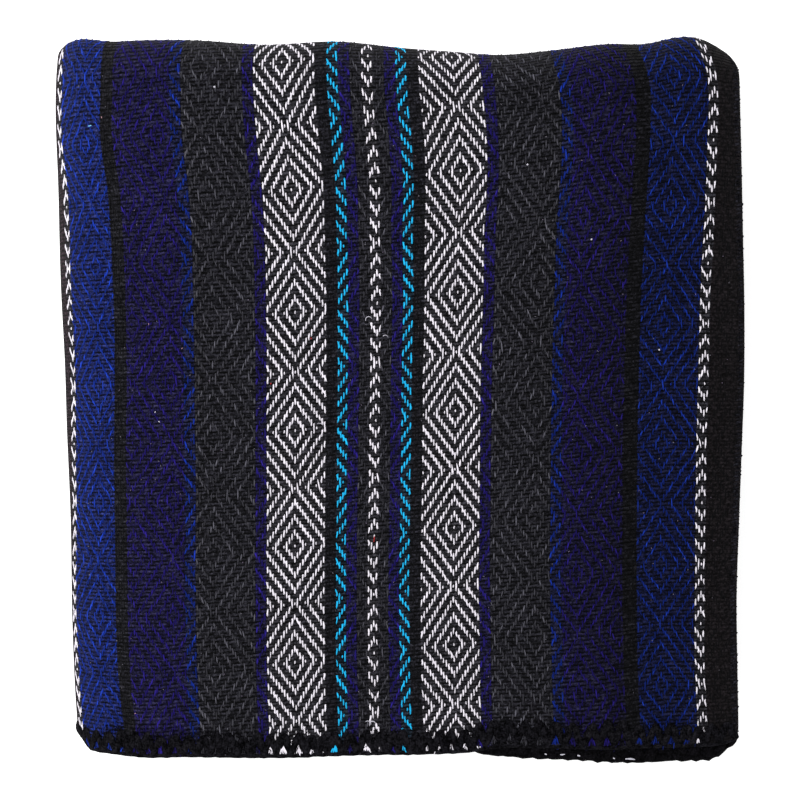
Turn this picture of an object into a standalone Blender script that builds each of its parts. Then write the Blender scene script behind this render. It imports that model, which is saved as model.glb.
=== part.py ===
"""An acrylic blanket: one woven length with two sewn hems, folded in twelve layers.

Axes: X is across the stripes, +Y runs along them from the hem to the big fold, +Z is up.
The cloth is first folded along its length in four layers, and those four are then
folded in three across the width. It lies flat on the surface at Z = 0.
"""

import math

import bmesh
import bpy
import numpy as np

NAME = "blanket"

CLOTH_THICK = 0.0032
HEM_THICK = 0.0042
LAYER_PITCH = 0.0048

# Height of the middle of each run of four layers across the width, in layers.
TOP_RUN = 10
MIDDLE_RUN = 6
BOTTOM_RUN = 2

LEFT_TURN_X = -0.1915
RIGHT_TURN_X = 0.1985
TOP_SELVEDGE_X = 0.2170
INNER_SELVEDGE_X = -0.1860
BACK_TURN_Y = 0.2165
FRONT_TURN_Y = -0.2150
TOP_HEM_Y = -0.2270
UNDER_HEM_Y = -0.2215
UNDER_HEM_SHOWS = 0.0160
UNDER_HEM_FROM_X = 0.0300
UNDER_HEM_FULL_X = 0.0700

# Where the straight runs are divided, closer together near the folds and the hems.
LEAST_DIVISION = 0.004
ACROSS_MARKS = (-0.165, -0.125, -0.060, 0.010, 0.080, 0.140, 0.178, 0.203)
ALONG_MARKS = (-0.208, -0.185, -0.140, -0.070, 0.005, 0.075, 0.135, 0.180, 0.203)
LEFT_TURN_STEPS = 9
RIGHT_TURN_STEPS = 6
OUTER_TURN_STEPS = 6
INNER_TURN_STEPS = 4

# Edges of the folded blanket before it is made uneven.
LEFT_EDGE = -0.2195
RIGHT_EDGE = 0.2170
BACK_EDGE = 0.2253
FRONT_EDGE = -0.2375

# How far each edge is moved, in mm: (place along the edge, outward move).
LEFT_OUTLINE = (
    (-215, -6.4),
    (-195, -5.0),
    (-150, -3.0),
    (-75, -1.6),
    (-20, 0.4),
    (20, 1.2),
    (75, 3.4),
    (135, 4.6),
    (185, 6.4),
    (215, 5.8),
)
RIGHT_OUTLINE = (
    (-215, -0.2),
    (-180, -1.0),
    (-130, -1.8),
    (-80, -0.4),
    (-30, 0.8),
    (10, 1.4),
    (50, 0.6),
    (110, -1.9),
    (165, -3.6),
    (215, -4.6),
)
BACK_OUTLINE = (
    (-201, 8.0),
    (-185, 4.8),
    (-160, 4.4),
    (-125, 3.6),
    (-88, 0.8),
    (-38, 2.4),
    (0, -1.4),
    (34, -3.6),
    (63, -5.4),
    (97, -2.6),
    (136, 1.4),
    (157, 1.2),
    (182, 5.6),
    (205, 4.6),
)
FRONT_OUTLINE = (
    (-190, 0.6),
    (-165, 1.2),
    (-120, 1.9),
    (-75, 2.2),
    (-30, 0.8),
    (25, -0.4),
    (60, -4.6),
    (90, -5.0),
    (130, -3.8),
    (160, -4.6),
    (200, -5.2),
)

# Rounded corners, in mm: (side in X, side in Y, reach in X, reach in Y, radius).
CORNERS = (
    (-1, -1, 219.5, 227.0, 15.0),
    (1, -1, 217.0, 237.5, 16.0),
    (-1, 1, 219.5, 225.3, 7.0),
    (1, 1, 217.0, 225.3, 26.0),
)

# Height of the stack, as a share of its even height.
FRONT_HEIGHT = 0.92
BACK_HEIGHT = 1.30
RISE_FROM_Y = -0.110
RISE_TO_Y = 0.170
BACK_ROLL = 0.26
BACK_ROLL_LENGTH = 0.030
LEFT_SAG = 0.40
LEFT_SAG_LENGTH = 0.085
RIGHT_DROOP = 0.11
RIGHT_DROOP_LENGTH = 0.035
FRONT_DROOP = 0.09
FRONT_DROOP_LENGTH = 0.030

# Slow waves in the height, as (size, turns of X, turns of Y, start).
WAVES = (
    (0.018, 31.0, 9.0, 0.6),
    (0.014, -17.0, 23.0, 1.9),
)

COLOUR = (0.018, 0.017, 0.026, 1.0)
ROUGHNESS = 0.95


def clear_scene():
    for old in list(bpy.data.objects):
        bpy.data.objects.remove(old, do_unlink=True)


def smooth(values, start, end):
    """0 at start, 1 at end, level at both."""
    share = np.clip((values - start) / (end - start), 0.0, 1.0)
    return share * share * (3.0 - 2.0 * share)


def easing(values, start, end):
    """0 at start, then growing faster and faster to 1 at end."""
    return np.clip((values - start) / (end - start), 0.0, 1.0) ** 2


def outline_move(places, rows):
    """The move, in metres, read from a table in mm along a curve through its rows."""
    knots = np.array([row[0] for row in rows]) / 1000
    moves = np.array([row[1] for row in rows]) / 1000
    slopes = np.gradient(moves, knots)
    inside = np.clip(places, knots[0], knots[-1])
    left = np.clip(np.searchsorted(knots, inside) - 1, 0, len(knots) - 2)
    width = knots[left + 1] - knots[left]
    share = (inside - knots[left]) / width
    start = (1 + 2 * share) * (1 - share) ** 2 * moves[left]
    end = share**2 * (3 - 2 * share) * moves[left + 1]
    leaving = share * (1 - share) ** 2 * width * slopes[left]
    arriving = share**2 * (share - 1) * width * slopes[left + 1]
    return start + end + leaving + arriving


def straight(start, end, marks):
    """Places from start to end by way of the marks between them."""
    low, high = sorted((start, end))
    between = [m for m in marks if low + LEAST_DIVISION < m < high - LEAST_DIVISION]
    if start > end:
        between.reverse()
    return [start, *between, end]


def turn(centre, radius, start, end, steps):
    """Points on an arc, ends left out, as (first, second, angle)."""
    angles = [start + (end - start) * step / steps for step in range(1, steps)]
    return [
        (centre[0] + radius * math.cos(angle), centre[1] + radius * math.sin(angle), angle)
        for angle in angles
    ]


def across_path():
    """Middle line of the four layers across the width, as (x, z, angle of its outside)."""
    top, middle, bottom = [run * LAYER_PITCH for run in (TOP_RUN, MIDDLE_RUN, BOTTOM_RUN)]
    up, down = math.pi / 2, 3 * math.pi / 2
    left = (LEFT_TURN_X, (top + bottom) / 2)
    right = (RIGHT_TURN_X, (middle + bottom) / 2)
    path = [(x, top, up) for x in straight(TOP_SELVEDGE_X, LEFT_TURN_X, ACROSS_MARKS)]
    path += turn(left, (top - bottom) / 2, up, down, LEFT_TURN_STEPS)
    path += [(x, bottom, down) for x in straight(LEFT_TURN_X, RIGHT_TURN_X, ACROSS_MARKS)]
    path += turn(right, (middle - bottom) / 2, down, up + 2 * math.pi, RIGHT_TURN_STEPS)
    path += [(x, middle, up) for x in straight(RIGHT_TURN_X, INNER_SELVEDGE_X, ACROSS_MARKS)]
    return np.array(path)


def along_path():
    """Middle of the cloth along its length, as (y, height above the middle line)."""
    pitch = LAYER_PITCH
    up = math.pi / 2
    path = [(y, 1.5 * pitch) for y in straight(TOP_HEM_Y, BACK_TURN_Y, ALONG_MARKS)]
    back = (BACK_TURN_Y, 0.0)
    path += [p[:2] for p in turn(back, 1.5 * pitch, up, -up, OUTER_TURN_STEPS)]
    path += [(y, -1.5 * pitch) for y in straight(BACK_TURN_Y, FRONT_TURN_Y, ALONG_MARKS)]
    front = (FRONT_TURN_Y, -pitch)
    path += [p[:2] for p in turn(front, 0.5 * pitch, -up, -3 * up, INNER_TURN_STEPS)]
    path += [(y, -0.5 * pitch) for y in straight(FRONT_TURN_Y, BACK_TURN_Y, ALONG_MARKS)]
    path += [p[:2] for p in turn(back, 0.5 * pitch, -up, up, INNER_TURN_STEPS)]
    path += [(y, 0.5 * pitch) for y in straight(BACK_TURN_Y, UNDER_HEM_Y, ALONG_MARKS)]
    return np.array(path)


def folded_sheet(across, along):
    """The middle surface of the folded cloth, and its points near a hem."""
    columns, rows = len(across), len(along)
    grid = bmesh.new()
    bmesh.ops.create_grid(grid, x_segments=columns - 1, y_segments=rows - 1, size=1.0)
    floor = 0.5 * LAYER_PITCH - 0.5 * CLOTH_THICK
    under_top = (TOP_RUN - BOTTOM_RUN / 2) * LAYER_PITCH
    hem_points = []
    for vertex in grid.verts:
        column = round((vertex.co.x + 1) / 2 * (columns - 1))
        row = round((vertex.co.y + 1) / 2 * (rows - 1))
        x, z, angle = across[column]
        y, height = along[row]
        if row == rows - 1 and z > under_top:
            y -= UNDER_HEM_SHOWS * float(smooth(x, UNDER_HEM_FROM_X, UNDER_HEM_FULL_X))
        vertex.co.x = x + height * math.cos(angle)
        vertex.co.y = y
        vertex.co.z = z + height * math.sin(angle) - floor
        if row in (0, rows - 1):
            hem_points.append(vertex.index)
    mesh = bpy.data.meshes.new(NAME)
    grid.to_mesh(mesh)
    grid.free()
    return mesh, hem_points


def thickened(mesh, hem_points):
    """The sheet given its thickness, a little more at the sewn hems."""
    sheet = bpy.data.objects.new(NAME + "_middle", mesh)
    bpy.context.scene.collection.objects.link(sheet)
    group = sheet.vertex_groups.new(name="cloth")
    group.add(range(len(mesh.vertices)), CLOTH_THICK / HEM_THICK, "REPLACE")
    group.add(hem_points, 1.0, "REPLACE")
    solid = sheet.modifiers.new("thickness", "SOLIDIFY")
    solid.thickness = HEM_THICK
    solid.offset = 0.0
    solid.use_even_offset = True
    solid.vertex_group = group.name
    graph = bpy.context.evaluated_depsgraph_get()
    thick = bpy.data.meshes.new_from_object(sheet.evaluated_get(graph))
    bpy.data.objects.remove(sheet, do_unlink=True)
    bpy.data.meshes.remove(mesh)
    return thick


def rounded_corners(x, y):
    """Points in each corner square are drawn in to the circle inside it."""
    for side_x, side_y, *lengths in CORNERS:
        reach_x, reach_y, radius = np.array(lengths) / 1000
        out_x = np.clip((side_x * x - reach_x + radius) / radius, 0.0, 1.0)
        out_y = np.clip((side_y * y - reach_y + radius) / radius, 0.0, 1.0)
        x = x - side_x * radius * out_x * (1 - np.sqrt(1 - out_y**2 / 2))
        y = y - side_y * radius * out_y * (1 - np.sqrt(1 - out_x**2 / 2))
    return x, y


def height_share(x, y):
    """How high the stack is at each place: puffed at the back, sagging to the left."""
    share = FRONT_HEIGHT + (BACK_HEIGHT - FRONT_HEIGHT) * smooth(y, RISE_FROM_Y, RISE_TO_Y)
    share = share * (1 - BACK_ROLL * easing(y, BACK_EDGE - BACK_ROLL_LENGTH, BACK_EDGE))
    share = share * (1 - LEFT_SAG * easing(x, LEFT_EDGE + LEFT_SAG_LENGTH, LEFT_EDGE))
    share = share * (1 - RIGHT_DROOP * easing(x, RIGHT_EDGE - RIGHT_DROOP_LENGTH, RIGHT_EDGE))
    share = share * (1 - FRONT_DROOP * easing(y, FRONT_EDGE + FRONT_DROOP_LENGTH, FRONT_EDGE))
    for size, turns_x, turns_y, start in WAVES:
        share = share + size * np.sin(turns_x * x + turns_y * y + start)
    return share


def settle(points):
    """Moves the evenly folded stack to the uneven shape that the real one has."""
    x, y, z = points.T
    height = np.maximum(z, 0.0) * height_share(x, y)
    near_left = np.clip(x / LEFT_EDGE, 0.0, 1.0) ** 2
    near_right = np.clip(x / RIGHT_EDGE, 0.0, 1.0) ** 2
    near_back = np.clip(y / BACK_EDGE, 0.0, 1.0) ** 2
    near_front = np.clip(y / FRONT_EDGE, 0.0, 1.0) ** 2
    round_x, round_y = rounded_corners(x, y)
    across = near_right * outline_move(y, RIGHT_OUTLINE) - near_left * outline_move(y, LEFT_OUTLINE)
    along = near_back * outline_move(x, BACK_OUTLINE) - near_front * outline_move(x, FRONT_OUTLINE)
    return np.column_stack([round_x + across, round_y + along, height])


def settled(mesh):
    """Applies the uneven shape and centres the blanket on its own box."""
    flat = np.empty(len(mesh.vertices) * 3)
    mesh.vertices.foreach_get("co", flat)
    points = settle(flat.reshape(-1, 3))
    middle = (points.min(axis=0) + points.max(axis=0)) / 2
    points[:, :2] -= middle[:2]
    mesh.vertices.foreach_set("co", points.ravel())
    mesh.update()


def cloth_material():
    material = bpy.data.materials.new(NAME)
    material.use_nodes = True
    surface = material.node_tree.nodes["Principled BSDF"]
    surface.inputs["Base Color"].default_value = COLOUR
    surface.inputs["Roughness"].default_value = ROUGHNESS
    surface.inputs["Metallic"].default_value = 0.0
    return material


def build():
    clear_scene()
    group = bpy.data.collections.new(NAME)
    bpy.context.scene.collection.children.link(group)
    mesh, hem_points = folded_sheet(across_path(), along_path())
    cloth = thickened(mesh, hem_points)
    cloth.name = NAME
    settled(cloth)
    cloth.materials.append(cloth_material())
    group.objects.link(bpy.data.objects.new(NAME, cloth))


build()
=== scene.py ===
"""Looks of the acrylic blanket, laid out as a Blender add-on and run as a script.

Every piece of cloth and yarn is first made flat. There X runs to the right across the
cloth from the selvedge (so it is 0 or less), Y runs along it from the hem that is on top,
and Z is the height above the middle of the cloth. laid() then folds that flat cloth in
its twelve layers and gives the stack the uneven shape of the solid.
The weave is counted in ends, the warp threads, and picks, the weft threads. End 0 is the
middle of the stripes and pick 0 is the middle of a row of diamonds.
"""

import math

import bpy
import numpy as np
from bpy.props import FloatProperty, FloatVectorProperty, IntProperty, PointerProperty
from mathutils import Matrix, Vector


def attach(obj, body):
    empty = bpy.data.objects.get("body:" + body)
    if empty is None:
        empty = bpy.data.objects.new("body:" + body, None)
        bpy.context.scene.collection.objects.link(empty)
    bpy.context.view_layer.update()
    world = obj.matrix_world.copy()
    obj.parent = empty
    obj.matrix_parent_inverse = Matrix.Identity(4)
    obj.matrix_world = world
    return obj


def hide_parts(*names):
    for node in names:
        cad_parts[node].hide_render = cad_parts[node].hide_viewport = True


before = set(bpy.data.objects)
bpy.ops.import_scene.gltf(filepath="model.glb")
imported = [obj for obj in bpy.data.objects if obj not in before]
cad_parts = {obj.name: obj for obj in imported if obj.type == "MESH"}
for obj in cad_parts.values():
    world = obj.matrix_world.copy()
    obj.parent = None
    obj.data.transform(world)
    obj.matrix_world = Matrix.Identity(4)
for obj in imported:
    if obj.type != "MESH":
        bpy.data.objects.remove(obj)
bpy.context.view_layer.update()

bl_info = {
    "name": "Folded Blanket",
    "version": (1, 0, 0),
    "blender": (4, 5, 0),
    "location": "View3D > Sidebar > Blanket",
    "description": "Weaves, folds and sews a striped diamond-twill blanket",
    "category": "Add Mesh",
}

SOLID = "blanket"
BODY = "root"
MM = 0.001

# The folds, as the solid has them.
CLOTH_THICK = 0.0032
HEM_THICK = 0.0042
LAYER_PITCH = 0.0048
FLOOR_DROP = 0.5 * (LAYER_PITCH - CLOTH_THICK)
TOP_RUN = 10 * LAYER_PITCH
MIDDLE_RUN = 6 * LAYER_PITCH
BOTTOM_RUN = 2 * LAYER_PITCH
LEFT_TURN_X = -0.1915
RIGHT_TURN_X = 0.1985
TOP_SELVEDGE_X = 0.2170
INNER_SELVEDGE_X = -0.1860
BACK_TURN_Y = 0.2165
FRONT_TURN_Y = -0.2150
TOP_HEM_Y = -0.2270
UNDER_HEM_Y = -0.2215
UNDER_HEM_PULL_Y = -0.2080
UNDER_HEM_MOST_PULL = 1.3
UNDER_HEM_FROM = 0.2
CENTRE = np.array([-0.00352, -0.00009, 0.0])

LEFT_EDGE = -0.2195
RIGHT_EDGE = 0.2170
BACK_EDGE = 0.2253
FRONT_EDGE = -0.2375

# How far each edge is moved, in mm: (place along the edge, outward move).
LEFT_OUTLINE = (
    (-215, -6.4), (-195, -5.0), (-150, -3.0), (-75, -1.6), (-20, 0.4),
    (20, 1.2), (75, 3.4), (135, 4.6), (185, 6.4), (215, 5.8),
)
RIGHT_OUTLINE = (
    (-215, -0.2), (-180, -1.0), (-130, -1.8), (-80, -0.4), (-30, 0.8),
    (10, 1.4), (50, 0.6), (110, -1.9), (165, -3.6), (215, -4.6),
)
BACK_OUTLINE = (
    (-201, 8.0), (-185, 4.8), (-160, 4.4), (-125, 3.6), (-88, 0.8), (-38, 2.4), (0, -1.4),
    (34, -3.6), (63, -5.4), (97, -2.6), (136, 1.4), (157, 1.2), (182, 5.6), (205, 4.6),
)
FRONT_OUTLINE = (
    (-190, 1.8), (-172, 2.9), (-156, 2.6), (-143, 1.7), (-120, 1.9), (-75, 2.2), (-30, 0.8),
    (25, -0.4), (45, -1.8), (60, -4.6), (90, -5.0), (130, -3.8), (160, -4.6), (200, -5.2),
)

# How far the under hem shows past the folds in front, in mm: (place along it, showing).
UNDER_HEM_SHOWS = (
    (30, 0.0), (42, 3.4), (53, 9.3), (61, 11.5), (70, 13.1),
    (80, 13.6), (96, 14.4), (111, 14.2), (127, 15.0), (140, 16.0),
)

# Rounded corners, in mm: (side in X, side in Y, reach in X, reach in Y, radius).
CORNERS = (
    (-1, -1, 219.5, 227.0, 15.0),
    (1, -1, 217.0, 237.5, 21.0),
    (-1, 1, 219.5, 225.3, 7.0),
    (1, 1, 217.0, 225.3, 26.0),
)

# Height of the stack, as a share of its even height.
FRONT_HEIGHT = 0.92
BACK_HEIGHT = 1.30
RISE_FROM_Y = -0.110
RISE_TO_Y = 0.170
BACK_ROLL = 0.26
BACK_ROLL_LENGTH = 0.030
LEFT_SAG = 0.40
LEFT_SAG_LENGTH = 0.085
RIGHT_DROOP = 0.11
RIGHT_DROOP_LENGTH = 0.035
FRONT_DROOP = 0.09
FRONT_DROOP_LENGTH = 0.030

# Slow waves in the height, as (size, radians for each metre of X and of Y, start).
WAVES = ((0.018, 31.0, 9.0, 0.6), (0.014, -17.0, 23.0, 1.9))

# The weave. The stripes are counted from the middle of the centre white pair outwards,
# and half a repeat is this many ends.
END_PITCH = 0.001726
PICK_PITCH = 0.002457
MIDDLE_END_FLAT = 0.2323
MIDDLE_PICK_FLAT = 0.2130
HALF_REPEAT = 135
POINT = 15
UP_PICKS = 2
REPEAT_PICKS = 4

# The ends and picks that the raised floats are looked for in.
FLOAT_ENDS = (-165, 134)
FLOAT_PICKS = (-100, 115)

# How the cloth has been pulled out of line, in mm. The columns are ends and each row is
# (place along the cloth, moves at those ends).
DRIFT_ENDS = (-120, -107, -97, -91, -80, -30, 0, 30, 55, 80, 107)
DRIFT = (
    (20, -4.2, -3.2, -2.3, -1.9, -0.5, -0.5, 0.3, 1.2, 1.6, -0.5, -1.4),
    (50, -3.0, -1.4, -0.2, 0.2, 0.1, 0.3, 1.2, 2.1, 1.9, 0.5, -0.5),
    (110, -2.8, -0.6, 0.6, 0.9, 0.9, 0.3, 1.8, 2.8, 2.9, 1.7, -0.8),
    (170, -7.2, -2.9, 0.1, 0.6, -0.1, 0.0, 0.8, 2.2, 2.8, 2.2, 0.4),
    (235, -13.0, -6.5, -2.9, -2.0, -0.4, -0.9, -0.1, 1.9, 2.9, 2.7, 1.1),
    (300, -12.8, -8.1, -5.3, -4.0, -1.4, -1.1, -0.8, 0.6, 1.2, 1.2, -0.1),
    (330, -14.0, -8.0, -4.8, -3.5, -1.3, -0.6, -0.2, 0.3, 0.2, 0.1, -2.3),
    (357, -13.6, -6.0, -3.0, -1.9, 0.5, 0.5, -0.2, -0.9, -1.5, -2.0, -3.9),
    (388, -6.2, -2.6, 1.0, 2.4, 3.7, 3.5, 1.8, -0.5, -2.5, -4.4, -5.8),
    (420, -7.2, -3.2, 0.5, 1.8, 4.0, 5.9, 4.4, 2.3, -1.5, -3.4, -6.7),
    (445, -5.4, -1.6, 1.4, 2.4, 4.5, 6.8, 5.0, 4.0, 2.0, 1.0, -2.0),
)
LIFT_ENDS = (-107, -80, -55, -30, 0, 30, 55, 80, 107)
LIFT = (
    (20, -14.5, -13.5, -10.0, -5.5, -1.5, 3.5, 2.5, 5.5, 11.0),
    (60, -14.8, -13.5, -10.0, -5.5, -0.5, 4.5, 5.5, 9.5, 15.0),
    (110, -16.2, -14.0, -10.0, -5.5, 0.3, 5.2, 8.7, 12.6, 17.5),
    (170, -15.8, -14.0, -10.3, -6.3, 0.6, 6.2, 10.8, 15.5, 21.4),
    (235, -15.2, -12.7, -10.3, -6.4, -0.2, 6.5, 11.7, 16.6, 23.4),
    (300, -14.6, -12.4, -9.0, -5.6, 0.0, 7.2, 12.6, 17.3, 24.0),
    (355, -13.2, -10.7, -6.7, -4.1, 1.3, 8.5, 14.5, 18.8, 23.5),
    (390, -13.4, -8.7, -4.4, -1.9, 3.7, 11.8, 17.3, 21.2, 25.0),
    (420, -10.5, -7.9, -2.5, 1.0, 6.6, 14.1, 17.6, 22.6, 26.8),
    (445, -8.0, -6.0, -1.0, 2.7, 6.5, 11.0, 15.5, 21.0, 25.0),
)

# The stripes: (first end past the stripe, colour, width of a float in ends, how much of
# the colour shows between the floats).
STRIPES = (
    (2, "white", 0.63, 0.01),
    (6, "dark_grey", 0.46, 0.06),
    (10, "indigo", 0.60, 0.14),
    (14, "cyan", 0.63, 0.01),
    (18, "black", 0.60, 0.0),
    (40, "white", 0.60, 0.01),
    (44, "indigo", 0.62, 0.12),
    (66, "grey", 0.50, 0.04),
    (70, "bright_blue", 0.60, 0.09),
    (92, "purple", 0.52, 0.15),
    (96, "black", 0.60, 0.0),
    (118, "blue", 0.50, 0.20),
    (122, "white", 0.58, 0.01),
    (HALF_REPEAT, "black", 0.60, 0.0),
)
COLOURS = {
    "white": (0.93, 0.885, 0.965),
    "cyan": (0.016, 0.51, 0.92),
    "blue": (0.007, 0.028, 0.27),
    "bright_blue": (0.005, 0.019, 0.195),
    "purple": (0.0125, 0.007, 0.118),
    "indigo": (0.0135, 0.008, 0.125),
    "grey": (0.055, 0.054, 0.066),
    "dark_grey": (0.045, 0.044, 0.054),
    "black": (0.0055, 0.0055, 0.0070),
}
WEFT = (0.0043, 0.0042, 0.0056)
SEWING = (0.0022, 0.0021, 0.0027)
# The under hem's yarn is the sewing yarn with painted shade: half as light, where the top hem
# shades it.
SHADED_UNDER_SEWING = (0.0011, 0.0010, 0.0013)
RIGHT_BAND = (0.0108, 0.0088, 0.0102, 1.0)
# Painted sheen: the black cloth round the big left fold is lightened and browned, as grazing light
# on its fuzz makes it look.
LEFT_FOLD_SHEEN = (0.020, 0.013, 0.017, 1.0)
BLACK = (0, 0, 0, 1)
WHITE = (1, 1, 1, 1)
PALE_YARNS = ("white", "cyan")

# How the floats lean with the diagonal that they lie on, in degrees: (to the left all
# over, more with the diagonal).
LEANS = {
    "white": (4.0, 12.0),
    "cyan": (4.0, 12.0),
    "blue": (3.0, 22.0),
    "bright_blue": (3.0, 19.0),
    "indigo": (3.0, 17.0),
    "purple": (3.0, 17.0),
    "grey": (2.0, 13.0),
    "dark_grey": (2.0, 13.0),
    "black": (0.0, 0.0),
}

SEED = 7
CLOSING_STEPS = 12


# Folding


def smooth(values, start, end):
    """0 at start, 1 at end, level at both."""
    share = np.clip((values - start) / (end - start), 0.0, 1.0)
    return share * share * (3.0 - 2.0 * share)


def easing(values, start, end):
    """0 at start, then growing faster and faster to 1 at end."""
    return np.clip((values - start) / (end - start), 0.0, 1.0) ** 2


def curve_through(places, knots, values):
    """Values read along a smooth curve through the knots, level beyond them."""
    slopes = np.gradient(values, knots)
    inside = np.clip(places, knots[0], knots[-1])
    left = np.clip(np.searchsorted(knots, inside) - 1, 0, len(knots) - 2)
    width = knots[left + 1] - knots[left]
    share = (inside - knots[left]) / width
    start = (1 + 2 * share) * (1 - share) ** 2 * values[left]
    end = share**2 * (3 - 2 * share) * values[left + 1]
    leaving = share * (1 - share) ** 2 * width * slopes[left]
    arriving = share**2 * (share - 1) * width * slopes[left + 1]
    return start + end + leaving + arriving


def outline_move(places, rows):
    table = np.array(rows) * MM
    return curve_through(places, table[:, 0], table[:, 1])


def run(start, end, level, facing):
    """A straight run of a route: its length, and what gives the place at a distance on it."""
    length = abs(end - start)

    def at(done):
        share = done / length
        return start + share * (end - start), np.full(done.shape, level), facing

    return length, at


def turn(centre, radius, face_radius, start, sweep, inside=False):
    """An arc of a route, in the same two parts. It is as long as the cloth's outer face."""
    length = abs(sweep) * face_radius

    def at(done):
        angle = start + sweep * done / length
        facing = angle + (math.pi if inside else 0.0)
        first = centre[0] + radius * np.cos(angle)
        return first, centre[1] + radius * np.sin(angle), facing

    return length, at


def routes():
    """Across and along the cloth, each a list of runs and turns."""
    up, down = math.pi / 2, 3 * math.pi / 2
    pitch, face = LAYER_PITCH, CLOTH_THICK / 2
    left_radius = (TOP_RUN - BOTTOM_RUN) / 2
    right_radius = (MIDDLE_RUN - BOTTOM_RUN) / 2
    reach = 1.5 * pitch + face
    left = (LEFT_TURN_X, (TOP_RUN + BOTTOM_RUN) / 2)
    right = (RIGHT_TURN_X, (MIDDLE_RUN + BOTTOM_RUN) / 2)
    across = (
        run(TOP_SELVEDGE_X, LEFT_TURN_X, TOP_RUN, up),
        turn(left, left_radius, left_radius + reach, up, math.pi),
        run(LEFT_TURN_X, RIGHT_TURN_X, BOTTOM_RUN, down),
        turn(right, right_radius, right_radius + reach, down, math.pi),
        run(RIGHT_TURN_X, INNER_SELVEDGE_X, MIDDLE_RUN, up + 2 * math.pi),
    )
    back, front = (BACK_TURN_Y, 0.0), (FRONT_TURN_Y, -pitch)
    outer, inner = 1.5 * pitch, 0.5 * pitch
    along = (
        run(TOP_HEM_Y, BACK_TURN_Y, outer, up),
        turn(back, outer, outer + face, up, -math.pi),
        run(BACK_TURN_Y, FRONT_TURN_Y, -outer, -up),
        turn(front, inner, inner + face, -up, -math.pi),
        run(FRONT_TURN_Y, BACK_TURN_Y, -inner, up),
        turn(back, inner, inner + face, -up, math.pi, inside=True),
        run(BACK_TURN_Y, UNDER_HEM_Y, inner, -up),
    )
    return across, along


ACROSS, ALONG = routes()
WIDTH = sum(piece[0] for piece in ACROSS)
LENGTH = sum(piece[0] for piece in ALONG)
BOTTOM_FLAT = ACROSS[0][0] + ACROSS[1][0]
UNDER_FLAT = ALONG[0][0] + ALONG[1][0]
LAST_PLY_FLAT = LENGTH - ALONG[-1][0]


def follow(route, distance):
    """Where each distance along a route is, and which way the outer face looks there."""
    first, second, facing = (np.zeros(distance.shape) for _ in range(3))
    begin = 0.0
    for number, (length, at) in enumerate(route):
        here = distance >= begin if number else np.ones(distance.shape, bool)
        done = distance[here] - begin
        if number < len(route) - 1:
            done = np.minimum(done, length)
        first[here], second[here], facing[here] = at(done)
        begin += length
    return first, second, facing


def folded(flat):
    """The flat cloth laid in its even folds."""
    across, along, proud = -flat[:, 0], flat[:, 1], flat[:, 2]
    y, height, facing = follow(ALONG, along)
    y = y + proud * np.cos(facing)
    height = height + proud * np.sin(facing)
    x, z, outward = follow(ACROSS, across)
    x = x + height * np.cos(outward)
    z = z + height * np.sin(outward) - FLOOR_DROP
    shows = outline_move(x, UNDER_HEM_SHOWS)
    pull = (UNDER_HEM_PULL_Y - y) / (UNDER_HEM_PULL_Y - UNDER_HEM_Y)
    on_it = (along > LAST_PLY_FLAT + UNDER_HEM_FROM) & (across < BOTTOM_FLAT)
    y = y - np.where(on_it, shows * np.clip(pull, 0.0, UNDER_HEM_MOST_PULL), 0.0)
    return np.column_stack([x, y, z])


def rounded_corners(x, y):
    """Points in each corner square are drawn in to the circle inside it."""
    for side_x, side_y, *lengths in CORNERS:
        reach_x, reach_y, radius = np.array(lengths) * MM
        out_x = np.clip((side_x * x - reach_x + radius) / radius, 0.0, 1.0)
        out_y = np.clip((side_y * y - reach_y + radius) / radius, 0.0, 1.0)
        x = x - side_x * radius * out_x * (1 - np.sqrt(1 - out_y**2 / 2))
        y = y - side_y * radius * out_y * (1 - np.sqrt(1 - out_x**2 / 2))
    return x, y


def height_share(x, y):
    """How high the stack is at each place: puffed at the back, sagging to the left."""
    share = FRONT_HEIGHT + (BACK_HEIGHT - FRONT_HEIGHT) * smooth(y, RISE_FROM_Y, RISE_TO_Y)
    for drop, values, start, edge in (
        (BACK_ROLL, y, BACK_EDGE - BACK_ROLL_LENGTH, BACK_EDGE),
        (LEFT_SAG, x, LEFT_EDGE + LEFT_SAG_LENGTH, LEFT_EDGE),
        (RIGHT_DROOP, x, RIGHT_EDGE - RIGHT_DROOP_LENGTH, RIGHT_EDGE),
        (FRONT_DROOP, y, FRONT_EDGE + FRONT_DROOP_LENGTH, FRONT_EDGE),
    ):
        share = share * (1 - drop * easing(values, start, edge))
    for size, turns_x, turns_y, start in WAVES:
        share = share + size * np.sin(turns_x * x + turns_y * y + start)
    return share


def laid(flat):
    """The flat cloth folded, and moved to the uneven shape that the solid has."""
    x, y, z = folded(flat).T
    height = np.maximum(z, 0.0) * height_share(x, y)

    def moved(place, edge, beside, outline):
        return np.clip(place / edge, 0.0, 1.0) ** 2 * outline_move(beside, outline)

    round_x, round_y = rounded_corners(x, y)
    across = moved(x, RIGHT_EDGE, y, RIGHT_OUTLINE) - moved(x, LEFT_EDGE, y, LEFT_OUTLINE)
    along = moved(y, BACK_EDGE, x, BACK_OUTLINE) - moved(y, FRONT_EDGE, x, FRONT_OUTLINE)
    return np.column_stack([round_x + across, round_y + along, height]) - CENTRE


# Weave


def pulled(ends, along, marks, rows):
    """The move, in metres, at each end and place along the cloth."""
    table = np.array(rows) * MM
    columns = [curve_through(along, table[:, 0], column) for column in table[:, 1:].T]
    place = np.interp(ends, marks, np.arange(len(marks)))
    left = np.clip(np.floor(place).astype(int), 0, len(marks) - 2)
    share = place - left
    stacked = np.array(columns)
    picked = np.arange(len(ends))
    return (1 - share) * stacked[left, picked] + share * stacked[left + 1, picked]


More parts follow.
